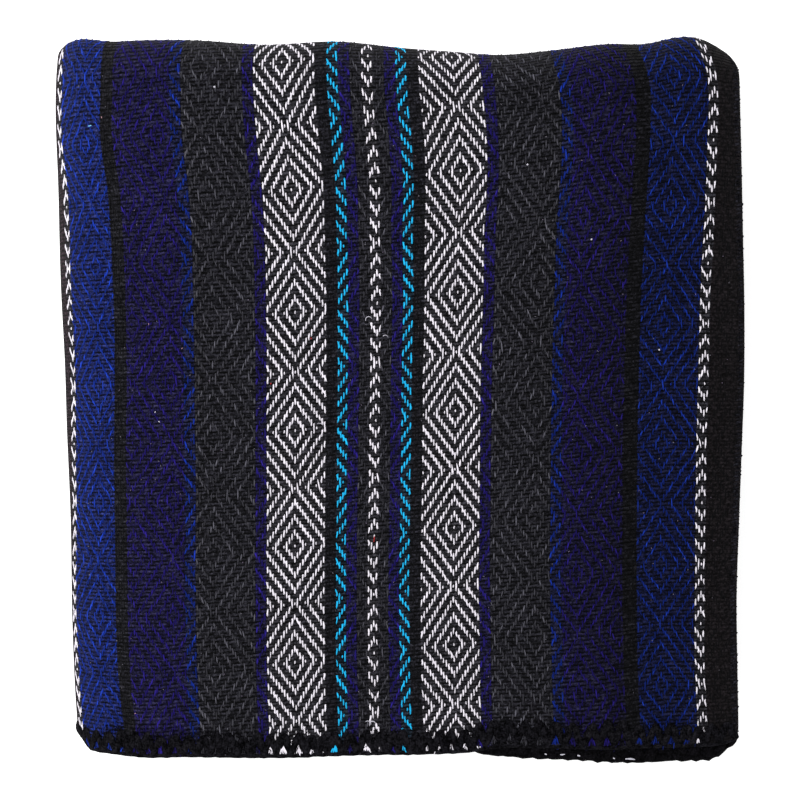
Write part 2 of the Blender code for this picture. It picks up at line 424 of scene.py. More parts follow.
def counts_at(flat):
    """The end and the pick at each place on the flat cloth, in fractions."""
    across, along = -flat[:, 0], flat[:, 1]
    rough = (MIDDLE_END_FLAT - across) / END_PITCH
    ends = rough + pulled(rough, along, DRIFT_ENDS, DRIFT) / END_PITCH
    lift = pulled(rough, along, LIFT_ENDS, LIFT)
    return ends, (along - MIDDLE_PICK_FLAT - lift) / PICK_PITCH


def place_of(ends, picks):
    """The place on the flat cloth of each end and pick, found by closing in on it."""
    flat = np.zeros((len(ends), 3))
    flat[:, 0] = ends * END_PITCH - MIDDLE_END_FLAT
    flat[:, 1] = MIDDLE_PICK_FLAT + picks * PICK_PITCH
    for _ in range(CLOSING_STEPS):
        now_ends, now_picks = counts_at(flat)
        flat[:, 0] += (ends - now_ends) * END_PITCH
        flat[:, 1] += (picks - now_picks) * PICK_PITCH
    return flat


def bounce(numbers, length):
    """Numbers that run up to length and back down to 0, again and again."""
    inside = np.mod(numbers, 2 * length)
    return np.minimum(inside, 2 * length - inside)


def rise_of(numbers, length):
    """1 where the bounce runs up, -1 where it runs down and 0 where it turns."""
    return bounce(numbers + 0.5, length) - bounce(numbers - 0.5, length)


def warp_is_up(ends, picks):
    """Whether the warp thread is over the weft on the outer face."""
    step = bounce(ends, POINT) + bounce(picks, POINT) + 1
    return np.mod(step, REPEAT_PICKS) < UP_PICKS


def stripe_of(ends):
    """The number in STRIPES of the stripe that each end is in."""
    out = bounce(np.abs(ends + 0.5), HALF_REPEAT)
    return np.searchsorted([stripe[0] for stripe in STRIPES], out, side="right")


# Meshes


def mesh_object(name, points, faces=()):
    mesh = bpy.data.meshes.new(name)
    mesh.vertices.add(len(points))
    mesh.vertices.foreach_set("co", np.asarray(points, np.float32).ravel())
    if len(faces):
        faces = np.asarray(faces, np.int32)
        size = faces.shape[1]
        mesh.loops.add(faces.size)
        mesh.loops.foreach_set("vertex_index", faces.ravel())
        mesh.polygons.add(len(faces))
        mesh.polygons.foreach_set("loop_start", np.arange(0, faces.size, size, dtype=np.int32))
    mesh.update(calc_edges=True)
    mesh.validate()
    made = bpy.data.objects.new(name, mesh)
    bpy.context.scene.collection.objects.link(made)
    return made


def keep_attribute(mesh, name, values, kind="FLOAT"):
    key = "vector" if kind == "FLOAT_VECTOR" else "value"
    held = mesh.attributes.new(name, kind, "POINT")
    held.data.foreach_set(key, np.asarray(values, np.float32).ravel())


def read_points(mesh):
    points = np.empty(len(mesh.vertices) * 3)
    mesh.vertices.foreach_get("co", points)
    return points.reshape(-1, 3)


def write_points(mesh, points):
    mesh.vertices.foreach_set("co", points.astype(np.float32).ravel())
    mesh.update()


def join_to_object(piece):
    """Shades a piece smooth and puts it on the body."""
    piece.data.polygons.foreach_set("use_smooth", np.ones(len(piece.data.polygons), bool))
    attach(piece, BODY)


def grow(piece, tree, inputs):
    """Swaps a piece's mesh for the plain mesh that a node tree makes of it."""
    modifier = piece.modifiers.new(tree.name, "NODES")
    modifier.node_group = tree
    for item in tree.interface.items_tree:
        if item.item_type == "SOCKET" and item.name in inputs:
            modifier[item.identifier] = inputs[item.name]
    graph = bpy.context.evaluated_depsgraph_get()
    made = bpy.data.meshes.new_from_object(piece.evaluated_get(graph))
    made.name = piece.name
    piece.modifiers.remove(modifier)
    holder, piece.data = piece.data, made
    bpy.data.meshes.remove(holder)


# Nodes


class Value:
    """What comes out of a node. It can be reckoned with as a number can."""

    def __init__(self, tree, socket):
        self.tree = tree
        self.socket = socket

    def math(self, operation, *others):
        return calc(self.tree, operation, self, *others)

    def __add__(self, other):
        return self.math("ADD", other)

    def __sub__(self, other):
        return self.math("SUBTRACT", other)

    def __rsub__(self, other):
        return calc(self.tree, "SUBTRACT", other, self)

    def __mul__(self, other):
        return self.math("MULTIPLY", other)

    def __pow__(self, other):
        return self.math("POWER", other)

    def __gt__(self, other):
        return self.math("GREATER_THAN", other)

    def __lt__(self, other):
        return self.math("LESS_THAN", other)

    def __abs__(self):
        return self.math("ABSOLUTE")

    def floor(self):
        return self.math("FLOOR")

    def cosine(self):
        return self.math("COSINE")

    def bounce(self, length):
        return self.math("PINGPONG", length)

    def clamped(self):
        self.socket.node.use_clamp = True
        return self

    def over(self, start, gain):
        """0 up to start, and this many times what is over it, up to 1."""
        return ((self - start) * gain).clamped()


def feed(socket, source):
    """Links a value to a socket, or sets the socket to a plain number or colour."""
    if isinstance(source, Value):
        source.tree.links.new(source.socket, socket)
    else:
        socket.default_value = source


def feed_all(node, inputs):
    for name, source in inputs.items():
        feed(node.inputs[name], source)


def add_node(tree, kind, inputs=None, out=0, **settings):
    """Adds a node, and gives the value that comes out of it."""
    made = tree.nodes.new(kind)
    for name, value in settings.items():
        setattr(made, name, value)
    feed_all(made, inputs or {})
    return Value(tree, made.outputs[out])


def calc(tree, operation, *values):
    return add_node(tree, "ShaderNodeMath", dict(enumerate(values)), operation=operation)


def parts(value, kind="ShaderNodeSeparateXYZ"):
    """The three numbers in a vector or a colour."""
    split = add_node(value.tree, kind, {0: value}).socket.node
    return [Value(value.tree, socket) for socket in split.outputs]


def colour_parts(colour):
    return parts(colour, "ShaderNodeSeparateColor")


def vector(tree, x=0.0, y=0.0, z=0.0):
    return add_node(tree, "ShaderNodeCombineXYZ", {0: x, 1: y, 2: z})


def scaled(value, scale):
    return add_node(value.tree, "ShaderNodeVectorMath", {0: value, 1: scale}, operation="MULTIPLY")


def mixed(tree, share, first, second, blend="MIX"):
    inputs = {0: share, 6: first, 7: second}
    return add_node(tree, "ShaderNodeMix", inputs, out=2, data_type="RGBA", blend_type=blend)


def ramp(factor, stops, interpolation="CONSTANT"):
    """The colour and the fourth number that a colour ramp gives at a factor."""
    made = add_node(factor.tree, "ShaderNodeValToRGB", {0: factor}).socket.node
    made.color_ramp.interpolation = interpolation
    elements = made.color_ramp.elements
    while len(elements) < len(stops):
        elements.new(1.0)
    for element, (place, _) in zip(elements, stops):
        element.position = place
    for element, (_, colour) in zip(elements, stops):
        element.color = colour
    return [Value(factor.tree, socket) for socket in made.outputs]


def noise(place, scale, detail=2.0, roughness=0.5):
    inputs = {"Vector": place, "Scale": scale, "Detail": detail, "Roughness": roughness}
    return add_node(place.tree, "ShaderNodeTexNoise", inputs)


def bumped(height, strength, distance):
    inputs = {"Height": height, "Strength": strength, "Distance": distance}
    return add_node(height.tree, "ShaderNodeBump", inputs)


def kept(tree, name, out="Fac"):
    """The number or vector that is kept on the mesh by this name."""
    return add_node(tree, "ShaderNodeAttribute", out=out, attribute_name=name)


def new_material(name):
    """A new material, its tree, its shader and the place on the object."""
    material = bpy.data.materials.new(name)
    material.use_nodes = True
    tree = material.node_tree
    place = add_node(tree, "ShaderNodeTexCoord", out="Object")
    return material, tree, tree.nodes["Principled BSDF"], place


def opaque(colour, gain=1.0):
    return (*(gain * part for part in colour), 1.0)


# Materials

FIBRE_ROUGH = 0.7
# The painted shade on the dark yarns grows between these ends, towards the right selvedge.
RIGHTWARD_SHADE = {"From Min": 52.0, "From Max": 106.0}
RIGHT_BAND_FROM = 121.5
# Ends between which the painted sheen of the big left fold lies.
LEFT_FOLD_SHEEN_FROM, LEFT_FOLD_SHEEN_TO = -147.5, -122.5


def stripe_nodes(end):
    """Colour, float width and tint of the stripe that a whole end number is in."""
    place = abs(end + 0.5).bounce(HALF_REPEAT).math("DIVIDE", HALF_REPEAT)
    starts = [0.0] + [stripe[0] / HALF_REPEAT for stripe in STRIPES[:-1]]
    colours = [(*COLOURS[stripe[1]], stripe[2]) for stripe in STRIPES]
    tints = [opaque([stripe[3]] * 3) for stripe in STRIPES]
    colour, width = ramp(place, list(zip(starts, colours)))
    return colour, width, ramp(place, list(zip(starts, tints)))[0]


def rightward(end):
    """Mask of the painted shade: 0 on the left and in the middle, growing to 1 towards the right
    selvedge.
    """
    span = {"Value": end, **RIGHTWARD_SHADE}
    return add_node(end.tree, "ShaderNodeMapRange", span, interpolation_type="SMOOTHSTEP")


def faded(end, colour, most):
    """Painted shade: the dark yarns are darker towards the right selvedge, away from the light, and
    white is not.
    """
    dark = colour_parts(colour)[0] < 0.5
    return 1.0 - rightward(end) * most * dark


def up_at(end_part, pick, side):
    """1 where the warp is over the weft on this face, otherwise 0."""
    step = end_part + pick.bounce(POINT) + side
    return step.math("FLOORED_MODULO", REPEAT_PICKS) < UP_PICKS - 0.5


def cloth_material(settings):
    """Weft ribs with the warp floats painted on them, from the counts kept on the mesh."""
    material, tree, surface, place = new_material("woven_acrylic")
    counts = kept(tree, "weave", "Vector")
    warp_count, weft_count, side = parts(counts)
    wander = (noise(place, scale=520.0, detail=1.0) - 0.5) * 0.35
    ends, picks = warp_count + wander, weft_count + wander
    end, pick = (ends + 0.5).floor(), (picks + 0.5).floor()
    beside, past = ends - end, picks - pick
    end_part = end.bounce(POINT)
    up = up_at(end_part, pick, side)
    before = up_at(end_part, pick - 1.0, side)
    after = up_at(end_part, pick + 1.0, side)

    # A float is full width in its length and pinched where it goes under the weft.
    near_end = ((1.0 - after) * past).math("MAXIMUM", (before - 1.0) * past)
    pinch = (near_end.math("MAXIMUM", 0.0) * 2.2) ** 3.0
    colour, width, tint = stripe_nodes(end)
    inside = width * 0.5 * (1.0 - pinch) - abs(beside)
    shown = up * (inside * 9.0).clamped()

    # The weft is a thick yarn that bulges where no warp thread holds it down.
    rib = (past * (2 * math.pi)).cosine() * 0.5 + 0.5
    crown = (beside * math.pi).cosine()
    height = shown * crown + (0.85 - up * 0.35) * rib

    # Pale streaks run along the weft, and a little of the stripe's colour shows in it.
    streak = noise(scaled(counts, (0.16, 1.0, 1.0)), scale=1.35, detail=3.0, roughness=0.65)
    streaks, _ = ramp(streak, [(0.40, BLACK), (0.72, WHITE)], "LINEAR")
    pale_weft = opaque(settings.weft_colour, settings.streak_gain)
    ground = mixed(tree, streaks, opaque(settings.weft_colour), pale_weft)
    # Painted shade: less of the stripe's colour shows in the weft towards the right selvedge.
    ground = mixed(tree, tint * (1.0 - rightward(end) * 0.42), ground, colour)
    at_right = end > RIGHT_BAND_FROM
    # Painted sheen on the black cloth round the big left fold.
    sheen_at_left = (end < LEFT_FOLD_SHEEN_TO) * (end > LEFT_FOLD_SHEEN_FROM)
    ground = mixed(tree, at_right, ground, RIGHT_BAND)
    ground = mixed(tree, sheen_at_left, ground, LEFT_FOLD_SHEEN)

    # Painted shade in the gaps between the picks, broken into dashes, and flecks of lighter fibre.
    dash = noise(scaled(counts, (0.40, 1.0, 1.0)), scale=1.1, detail=1.0).over(0.36, 5.0)
    gap = abs(past).over(0.20, 7.0) * (dash * 0.62 + 0.36) * (1.0 - at_right * 0.35)
    fleck = noise(scaled(counts, (0.95, 1.5, 1.0)), scale=1.5, detail=2.0, roughness=0.75)
    blotch = noise(place, scale=430.0, detail=2.0, roughness=0.6)
    fleck = fleck.over(0.36, 4.2) ** 1.5 * 2.3 + 0.25
    fleck = fleck * (blotch.over(0.34, 2.8) * 0.95 + 0.55)
    # Multiplies the painted shade of the gaps and the real lighter flecks into the ground.
    ground = mixed(tree, 1.0, ground, (1.06 - gap) * fleck, "MULTIPLY")

    fibre = noise(place, scale=1500.0, detail=2.0, roughness=FIBRE_ROUGH)
    patch = noise(place, scale=28.0, detail=3.0)
    warp = mixed(tree, (fibre * 0.5 - 0.1).clamped(), colour, BLACK)
    painted = mixed(tree, shown, ground, warp)
    # Random patches of tone, times the painted shade towards the right selvedge.
    toned = (patch * 0.5 + 0.75) * faded(end, colour, most=0.50)
    relief = bumped(fibre * 0.35 + height, 0.9 - at_right * 0.25, settings.relief)
    feed_all(surface, {
        "Base Color": mixed(tree, 1.0, painted, toned, "MULTIPLY"),
        "Roughness": fibre * 0.2 + 0.78,
        "Normal": relief,
        "Specular IOR Level": 0.03,
        "Sheen Weight": 0.02,
        "Sheen Roughness": 0.6,
    })
    return material


def float_material(name):
    """Raised warp yarn, coloured by the end that it belongs to."""
    material, tree, surface, place = new_material(name)
    end, tone = kept(tree, "end"), kept(tree, "tone")
    colour, _, _ = stripe_nodes(end)
    red, green, blue = colour_parts(colour)
    pale = green > 0.3
    grey = (red * 2.0 > blue) * (1.0 - pale)
    fibre = noise(place, scale=1300.0, detail=2.0, roughness=FIBRE_ROUGH)
    patch = noise(place, scale=95.0, detail=3.0, roughness=0.65)

    # The dark yarns differ most from float to float, and white and cyan least.
    spread = 1.35 - pale * 1.15 + grey * 0.35
    least = pale * 0.28 + 0.66 - grey * 0.12
    shade = (fibre * 0.30 + 0.72) * (tone**2.6 * spread + least)
    shade = shade * ((patch - 0.5) * (1.5 - pale * 1.1) + 1.0)
    # Painted shade: the dark floats are darker towards the right selvedge.
    shade = shade * faded(end, colour, most=0.37)
    feed_all(surface, {
        "Base Color": mixed(tree, 1.0, colour, shade, "MULTIPLY"),
        "Roughness": fibre * 0.2 + 0.72,
        "Normal": bumped(fibre, strength=0.5, distance=0.0002),
        "Specular IOR Level": 0.05,
        "Sheen Weight": 0.02,
    })
    return material


def yarn_material(name, colour):
    """Thick sewing yarn, mottled by its fibres and its strands."""
    material, tree, surface, place = new_material(name)
    fibre = noise(place, scale=900.0, detail=3.0, roughness=FIBRE_ROUGH)
    strand = noise(place, scale=260.0)
    share = (strand * 0.5 + fibre).over(0.60, 2.6) ** 1.4
    feed_all(surface, {
        "Base Color": mixed(tree, share, opaque(colour, 0.2), opaque(colour, 8.0)),
        "Roughness": fibre * 0.15 + 0.8,
        "Normal": bumped(fibre + strand, strength=0.7, distance=0.0005),
        "Specular IOR Level": 0.02,
    })
    return material


# Cloth

# Distances between the rows of faces in the turns and at the hem that shows below.
LEFT_TURN_STEP = 0.0052
RIGHT_TURN_STEP = 0.0050
BACK_TURN_STEP = 0.0028
FRONT_TURN_STEP = 0.0020
INNER_TURN_STEP = 0.0024
UNDER_HEM_ZONE = 0.030
UNDER_HEM_STEP = 0.0050
# The spacing in the bottom run as a share of the shown one, and in the second ply as a
# share of the hidden one.
BOTTOM_WIDER = 2.2
SECOND_PLY_CLOSER = 0.6

# The rounded edge: places from it, and how it thickens to the hem.
EDGE_PLACES = np.array([0.0, 0.0002, 0.0006, 0.0012, 0.0022])
EDGE_CLEAR = 0.001
EDGE_LEAST = 0.02
HEM_FULL_TO, HEM_PLAIN_FROM = 0.004, 0.018


def stations(pieces):
    """Places along a route: pieces is a list of (length, wanted distance)."""
    places = [0.0]
    for length, wanted in pieces:
        steps = max(1, round(length / wanted))
        places.extend(places[-1] + length * np.arange(1, steps + 1) / steps)
    return np.array(places)


def edge_steps(places, length):
    """The stations, closer together next to both edges so that they can be round."""
    far = length - EDGE_PLACES[::-1]
    clear = (places > EDGE_PLACES[-1] + EDGE_CLEAR) & (places < far[0] - EDGE_CLEAR)
    return np.concatenate([EDGE_PLACES, places[clear], far])


def cloth_stations(settings):
    """Where the columns and rows of the cloth lie: wide apart where nothing shows."""
    shown, hidden = settings.station, settings.hidden_station
    across = (shown, LEFT_TURN_STEP, BOTTOM_WIDER * shown, RIGHT_TURN_STEP, hidden)
    second = SECOND_PLY_CLOSER * hidden
    along = (shown, BACK_TURN_STEP, second, FRONT_TURN_STEP, hidden, INNER_TURN_STEP)
    across = [(piece[0], step) for piece, step in zip(ACROSS, across)]
    along = [(piece[0], step) for piece, step in zip(ALONG, along)]
    along += [(ALONG[-1][0] - UNDER_HEM_ZONE, hidden), (UNDER_HEM_ZONE, UNDER_HEM_STEP)]
    return edge_steps(stations(across), WIDTH), edge_steps(stations(along), LENGTH)


def half_thickness(across, along, settings):
    """Half the thickness of the cloth at each place: thicker hems, rounded edges."""
    half = np.full(across.shape, settings.thickness / 2)
    to_hem = np.minimum(along, LENGTH - along)
    to_side = np.minimum(across, WIDTH - across)
    thicker = 1 - smooth(to_hem, HEM_FULL_TO, HEM_PLAIN_FROM)
    half = half + (HEM_THICK - CLOTH_THICK) / 2 * thicker
    for distance in (to_hem, to_side):
        left = 1 - np.clip(distance / EDGE_PLACES[-1], 0.0, 1.0)
        half = half * np.sqrt(np.maximum(1 - left**2, EDGE_LEAST))
    return half


def cloth_faces(columns, rows):
    """Faces of a closed slab: the outer grid, the inner grid and the rim between them."""
    layer = columns * rows
    index = np.arange(layer).reshape(rows, columns)
    a, b = index[:-1, :-1].ravel(), index[:-1, 1:].ravel()
    c, d = index[1:, 1:].ravel(), index[1:, :-1].ravel()
    outer = np.column_stack([a, d, c, b])
    inner = np.column_stack([a, b, c, d]) + layer
    around = np.concatenate([index[0, :], index[1:, -1], index[-1, -2::-1], index[-2:0:-1, 0]])
    onward = np.roll(around, -1)
    rim = np.column_stack([around, onward, onward + layer, around + layer])
    return np.concatenate([outer, inner, rim])


class BlanketClothSettings(bpy.types.PropertyGroup):
    thickness: FloatProperty(
        name="Thickness", default=CLOTH_THICK, unit="LENGTH",
        description="Thickness of the cloth away from its hems",
    )
    relief: FloatProperty(
        name="Weave Relief", default=0.0009, unit="LENGTH",
        description="Depth of the weave between its threads",
    )
    station: FloatProperty(
        name="Station", default=0.0042, unit="LENGTH",
        description="Distance between the rows of faces where the cloth shows",
    )
    hidden_station: FloatProperty(
        name="Hidden Station", default=0.0200, unit="LENGTH",
        description="Distance between the rows of faces inside the stack",
    )
    weft_colour: FloatVectorProperty(
        name="Weft Colour", default=WEFT, subtype="COLOR", size=3,
        description="Colour of the thick yarn that runs across the stripes",
    )
    streak_gain: FloatProperty(
        name="Streak Gain", default=3.4,
        description="How many times lighter the pale streaks in the weft are",
    )


class BLANKET_OT_weave_cloth(bpy.types.Operator):
    """Makes the one length of cloth, with rounded hems and selvedges, in its twelve layers"""

    bl_idname = "blanket.weave_cloth"
    bl_label = "Weave Cloth"

    def execute(self, context):
        settings = context.scene.blanket_cloth
        columns, rows = cloth_stations(settings)
        across, along = (grid.ravel() for grid in np.meshgrid(columns, rows))
        half = half_thickness(across, along, settings)
        outer = np.column_stack([-across, along, half])
        inner = np.column_stack([-across, along, -half])
        ends, picks = counts_at(outer)
        faced = (np.full(len(across), side) for side in (1, 1 + UP_PICKS))
        weave = [np.column_stack([ends, picks, side]) for side in faced]
        faces = cloth_faces(len(columns), len(rows))
        cloth = mesh_object("woven_cloth", laid(np.concatenate([outer, inner])), faces)
        keep_attribute(cloth.data, "weave", np.concatenate(weave), "FLOAT_VECTOR")
        cloth.data.materials.append(cloth_material(settings))
        join_to_object(cloth)
        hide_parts(SOLID)
        return {"FINISHED"}


# Floats

# A float over a single pick, and one that has sunk in, is shorter and narrower.
LONE_SHORTER = 0.12
LONE_WIDTH = 0.66
SUNK_WIDTH = 0.62
SUNK_LENGTH = 0.70
SUNK_PALE, SUNK_DARK = 0.04, 0.14
PALE_STRAY = 0.45
MOST_STRAY = 2
SELVEDGE_CLEAR = 0.002
HEM_CLEAR = 0.0025
PAST_BACK = 0.004

FLOAT_PIECES = {
    "white_floats": PALE_YARNS,
    "blue_floats": ("blue", "bright_blue", "indigo"),
    "purple_floats": ("purple",),
    "grey_floats": ("grey", "dark_grey"),
}


def modifier_tree(name, numbers, wholes):
    """A new tree for a modifier, with the values of its inputs in the order given."""
    tree = bpy.data.node_groups.new(name, "GeometryNodeTree")
    tree.is_modifier = True
    sockets = [("Geometry", "NodeSocketGeometry")]
    sockets += [(label, "NodeSocketFloat") for label in numbers]
    sockets += [(label, "NodeSocketInt") for label in wholes]
    for label, kind in sockets:
        tree.interface.new_socket(label, in_out="INPUT", socket_type=kind)
    tree.interface.new_socket("Geometry", in_out="OUTPUT", socket_type="NodeSocketGeometry")
    given = tree.nodes.new("NodeGroupInput").outputs
    return tree, [Value(tree, given[label]) for label, _ in sockets]


def close_tree(tree, geometry, material):
    """Ends a tree in plain faces with their material."""
    real = add_node(tree, "GeometryNodeRealizeInstances", {0: geometry})
    dressed = add_node(tree, "GeometryNodeSetMaterial", {0: real, "Material": material})
    feed(tree.nodes.new("NodeGroupOutput").inputs[0], dressed)
    return tree


def named_float(tree, name):
    kind = "GeometryNodeInputNamedAttribute"
    return add_node(tree, kind, {"Name": name}, data_type="FLOAT")


def random_float(low, high, seed, offset):
    made = seed.tree.nodes.new("FunctionNodeRandomValue")
    made.data_type = "FLOAT"
    lowest, highest, *_ = (item for item in made.inputs if item.type == "VALUE")
    feed(lowest, low)
    feed(highest, high)
    feed(made.inputs["Seed"], seed + offset)
    return Value(seed.tree, [item for item in made.outputs if item.type == "VALUE"][0])


def float_tree(material):
    """Yarn grains on points that say how long and how wide each one is."""
    names = ("Rise", "Tilt", "Unevenness")
    tree, given = modifier_tree("raised_floats", names, ("Seed",))
    points, rise, tilt, unevenness, seed = given
    bar = {"Vertices": 5, "Side Segments": 3, "Radius": 0.5, "Depth": 1.0}
    grain = add_node(tree, "GeometryNodeMeshCylinder", bar, fill_type="NGON")
    place = add_node(tree, "GeometryNodeInputPosition")
    narrow = (abs(parts(place)[2]) > 0.4) * -0.66 + 1.0
    pointed = {"Geometry": grain, "Position": scaled(place, vector(tree, narrow, narrow, 1.0))}
    grain = add_node(tree, "GeometryNodeSetPosition", pointed)
    lying = {"Geometry": grain, "Rotation": (math.pi / 2, 0.0, 0.0)}
    grain = add_node(tree, "GeometryNodeTransform", lying)
    low, high = 1.0 - unevenness, unevenness + 1.0
    long = named_float(tree, "long") * random_float(low, high, seed, 1)
    wide = named_float(tree, "wide") * random_float(low, high, seed, 2)
    lean = named_float(tree, "lean") + random_float(tilt * -1.0, tilt, seed, 3)
    placed = add_node(tree, "GeometryNodeInstanceOnPoints", {
        "Points": points,
        "Instance": grain,
        "Rotation": vector(tree, z=lean),
        "Scale": vector(tree, wide, long, rise * 2.0),
    })
    tone = {"Geometry": placed, "Name": "tone", "Value": random_float(0.0, 1.0, seed, 4)}
    kind = "GeometryNodeStoreNamedAttribute"
    toned = add_node(tree, kind, tone, data_type="FLOAT", domain="INSTANCE")
    return close_tree(tree, toned, material)


def float_runs(first_end, last_end, first_pick, last_pick):
    """Every float in a part of the cloth, as (end, middle pick, picks covered)."""
    ends = np.arange(first_end, last_end + 1)
    picks = np.arange(first_pick, last_pick + 1)
    up = warp_is_up(ends[:, None], picks[None, :]).astype(int)
    edges = np.diff(np.pad(up, ((0, 0), (1, 1))), axis=1)
    rows, starts = np.nonzero(edges == 1)
    _, stops = np.nonzero(edges == -1)
    middles = picks[0] + (starts + stops - 1) / 2
    return ends[rows], middles, stops - starts


def coloured_floats(settings):
    """Where the raised floats lie flat, the stripe of each, and what is kept on it."""
    ends, middles, covered = float_runs(*FLOAT_ENDS, *FLOAT_PICKS)
    stripes = stripe_of(ends)
    flat = place_of(ends.astype(float), middles)
    colours = np.array([stripe[1] for stripe in STRIPES])
    chosen = (
        (colours[stripes] != "black")
        & (flat[:, 0] < -SELVEDGE_CLEAR)
        & (flat[:, 0] > -BOTTOM_FLAT)
        & (flat[:, 1] > HEM_CLEAR)
        & (flat[:, 1] < UNDER_FLAT + PAST_BACK)
    )
    everything = (flat, ends, middles, covered, stripes)
    flat, ends, middles, covered, stripes = (values[chosen] for values in everything)
    alone = covered == 1
    long = (covered - settings.short_of - LONE_SHORTER * alone) * PICK_PITCH
    widths = np.array([stripe[2] for stripe in STRIPES])[stripes]
    wide = widths * END_PITCH * np.where(alone, LONE_WIDTH, 1.0)
    leans = np.radians([LEANS[colour] for colour in colours])[stripes]
    slope = -rise_of(ends, POINT) * rise_of(middles, POINT)
    rng = np.random.default_rng(settings.seed)
    pale = np.isin(colours, PALE_YARNS)[stripes]
    stray = settings.stray * np.where(pale, PALE_STRAY, 1.0)
    flat[:, 0] += stray * END_PITCH * rng.normal(0.0, 1.0, len(flat)).clip(-MOST_STRAY, MOST_STRAY)
    flat[:, 1] += stray * PICK_PITCH * rng.normal(0.0, 1.0, len(flat)).clip(-MOST_STRAY, MOST_STRAY)
    sunk = rng.random(len(flat)) < np.where(pale, SUNK_PALE, SUNK_DARK)
    return flat, colours[stripes], {
        "end": ends,
        "long": long * np.where(sunk, SUNK_LENGTH, 1.0),
        "wide": wide * np.where(sunk, SUNK_WIDTH, 1.0),
        "lean": leans[:, 0] - leans[:, 1] * slope,
    }


class BlanketFloatSettings(bpy.types.PropertyGroup):
    rise: FloatProperty(
        name="Rise", default=0.00055, unit="LENGTH",
        description="Height of a warp float above the face of the cloth",
    )
    short_of: FloatProperty(
        name="Short Of", default=0.32,
        description="How much shorter a float is than the picks it covers, in picks",
    )
    tilt: FloatProperty(
        name="Tilt", default=math.radians(8), subtype="ANGLE",
        description="Most that a float leans away from the lean of its diagonal",
    )
    stray: FloatProperty(
        name="Stray", default=0.15,
        description="How far a dark float strays from its place, in threads",
    )
    unevenness: FloatProperty(
        name="Unevenness", default=0.22, subtype="FACTOR",
        description="Share by which the floats differ in length and width",
    )
    seed: IntProperty(
        name="Seed", default=SEED,
        description="Number that fixes the unevenness of the floats",
    )


class BLANKET_OT_raise_floats(bpy.types.Operator):
    """Raises the coloured warp floats over the top layer and its two visible folds"""

    bl_idname = "blanket.raise_floats"
    bl_label = "Raise Warp Floats"

    def execute(self, context):
        settings = context.scene.blanket_floats
        flat, colours, attributes = coloured_floats(settings)
        flat[:, 2] = half_thickness(-flat[:, 0], flat[:, 1], context.scene.blanket_cloth)
        material = float_material("warp_yarn")
        inputs = {
            "Rise": settings.rise,
            "Tilt": settings.tilt,
            "Unevenness": settings.unevenness,
            "Seed": settings.seed,
        }
        for name, wanted_colours in FLOAT_PIECES.items():
            wanted = np.isin(colours, wanted_colours)
            piece = mesh_object(name, flat[wanted])
            for kept_name, values in attributes.items():
                keep_attribute(piece.data, kept_name, values[wanted])
            grow(piece, float_tree(material), inputs)
            write_points(piece.data, laid(read_points(piece.data)))
            join_to_object(piece)
        return {"FINISHED"}


# Sewing

# The stitches that show along the top hem, as (place in mm in from the right selvedge,
# how full the brushed warp ends in its gap are).
TOP_STITCHES = (
    (8, 0.15), (18, 0.15), (27.5, 1.0), (35, 1.1), (44.5, 0.6), (54.5, 0.8), (65.5, 0.9),
    (76, 0.2), (86, 0.45), (95.5, 0.9), (107.5, 0.2), (118.5, 0.9), (128.5, 0.2),
    (138.5, 0.25), (148, 0.2), (157.5, 0.3), (167.5, 0.7), (175.5, 0.9), (185, 0.6),
    (192.5, 0.5), (200, 0.7), (207.5, 0.2), (215, 0.9), (222, 0.5), (229.5, 0.15),
    (239, 1.15), (249.5, 0.2), (259, 1.15), (266.5, 0.4), (274.5, 1.0), (282, 0.9),
    (292.5, 1.0), (300.5, 0.9), (309.5, 0.2), (318.5, 0.25), (327.5, 0.2), (336, 0.25),
    (345, 0.2), (354, 0.4), (363.5, 0.7), (373.5, 1.1), (382, 1.0), (390, 0.5),
    (400, 0.3), (409.5, 0.6), (418.5, 0.8), (428, 0.2),
)

# One strand of a stitch on the flat cloth: how far out of its middle, as a share of half
# the pitch; how far from the edge, as a share of the stitch; height; thickness.
STRAND = np.array((
    (0.02, 1.00, 0.0008, 0.44),
    (0.17, 0.90, 0.0022, 0.78),
    (0.40, 0.71, 0.0028, 1.00),
    (0.54, 0.48, 0.0029, 1.06),
    (0.88, 0.24, 0.0026, 0.98),
    (0.97, 0.13, 0.0015, 0.70),
    (0.97, 0.12, 0.0000, 0.52),
    (0.97, 0.13, -0.0015, 0.70),
    (0.84, 0.22, -0.0026, 1.04),
    (0.52, 0.44, -0.0029, 1.06),
    (0.30, 0.76, -0.0024, 0.72),
))

# The stitches reach deeper between these places across the cloth.
DEEP_FROM, DEEP_TO = (0.055, 0.085), (0.150, 0.190)
DEEPER = 0.25
STITCH_FLATTEN = 0.45
RIM_STEP = 0.0032

# The warp ends are combed this far to the left by the sewing.
COMBED = 0.0040

# How unevenly the stitches are sewn, as shares of the pitch, the reach or the yarn.
GAP_STRAY = 0.12
GAP_FULLNESS = (0.2, 1.0)
REACH_SPREAD = (0.90, 1.10)
STITCH_LEAN = 0.16
STRAND_SPREAD = (0.92, 1.08)
STRAND_STRAY = 0.05

# The yarn along the cut edge: how far it stays off the selvedges, and how it waves.
RIM_CLEAR = 0.001
RIM_SUNK = 0.0002
RIM_WAVE = 0.00015
RIM_STRAY = 0.0001

# How the brushed warp ends taper, arch, slant and stray, and how thick and light they are.
BRUSHED_THICKS = np.array([0.6, 1.0, 1.1, 0.8])
BRUSHED_ROOT = 0.35
BRUSHED_ARCH = 0.0005
BRUSHED_SLANT = 0.0007
BRUSHED_STRAY = 0.0003
BRUSHED_SHORT = 0.0012
BRUSHED_SPREAD = (0.6, 1.15)
BRUSHED_TONES = (0.3, 1.0)


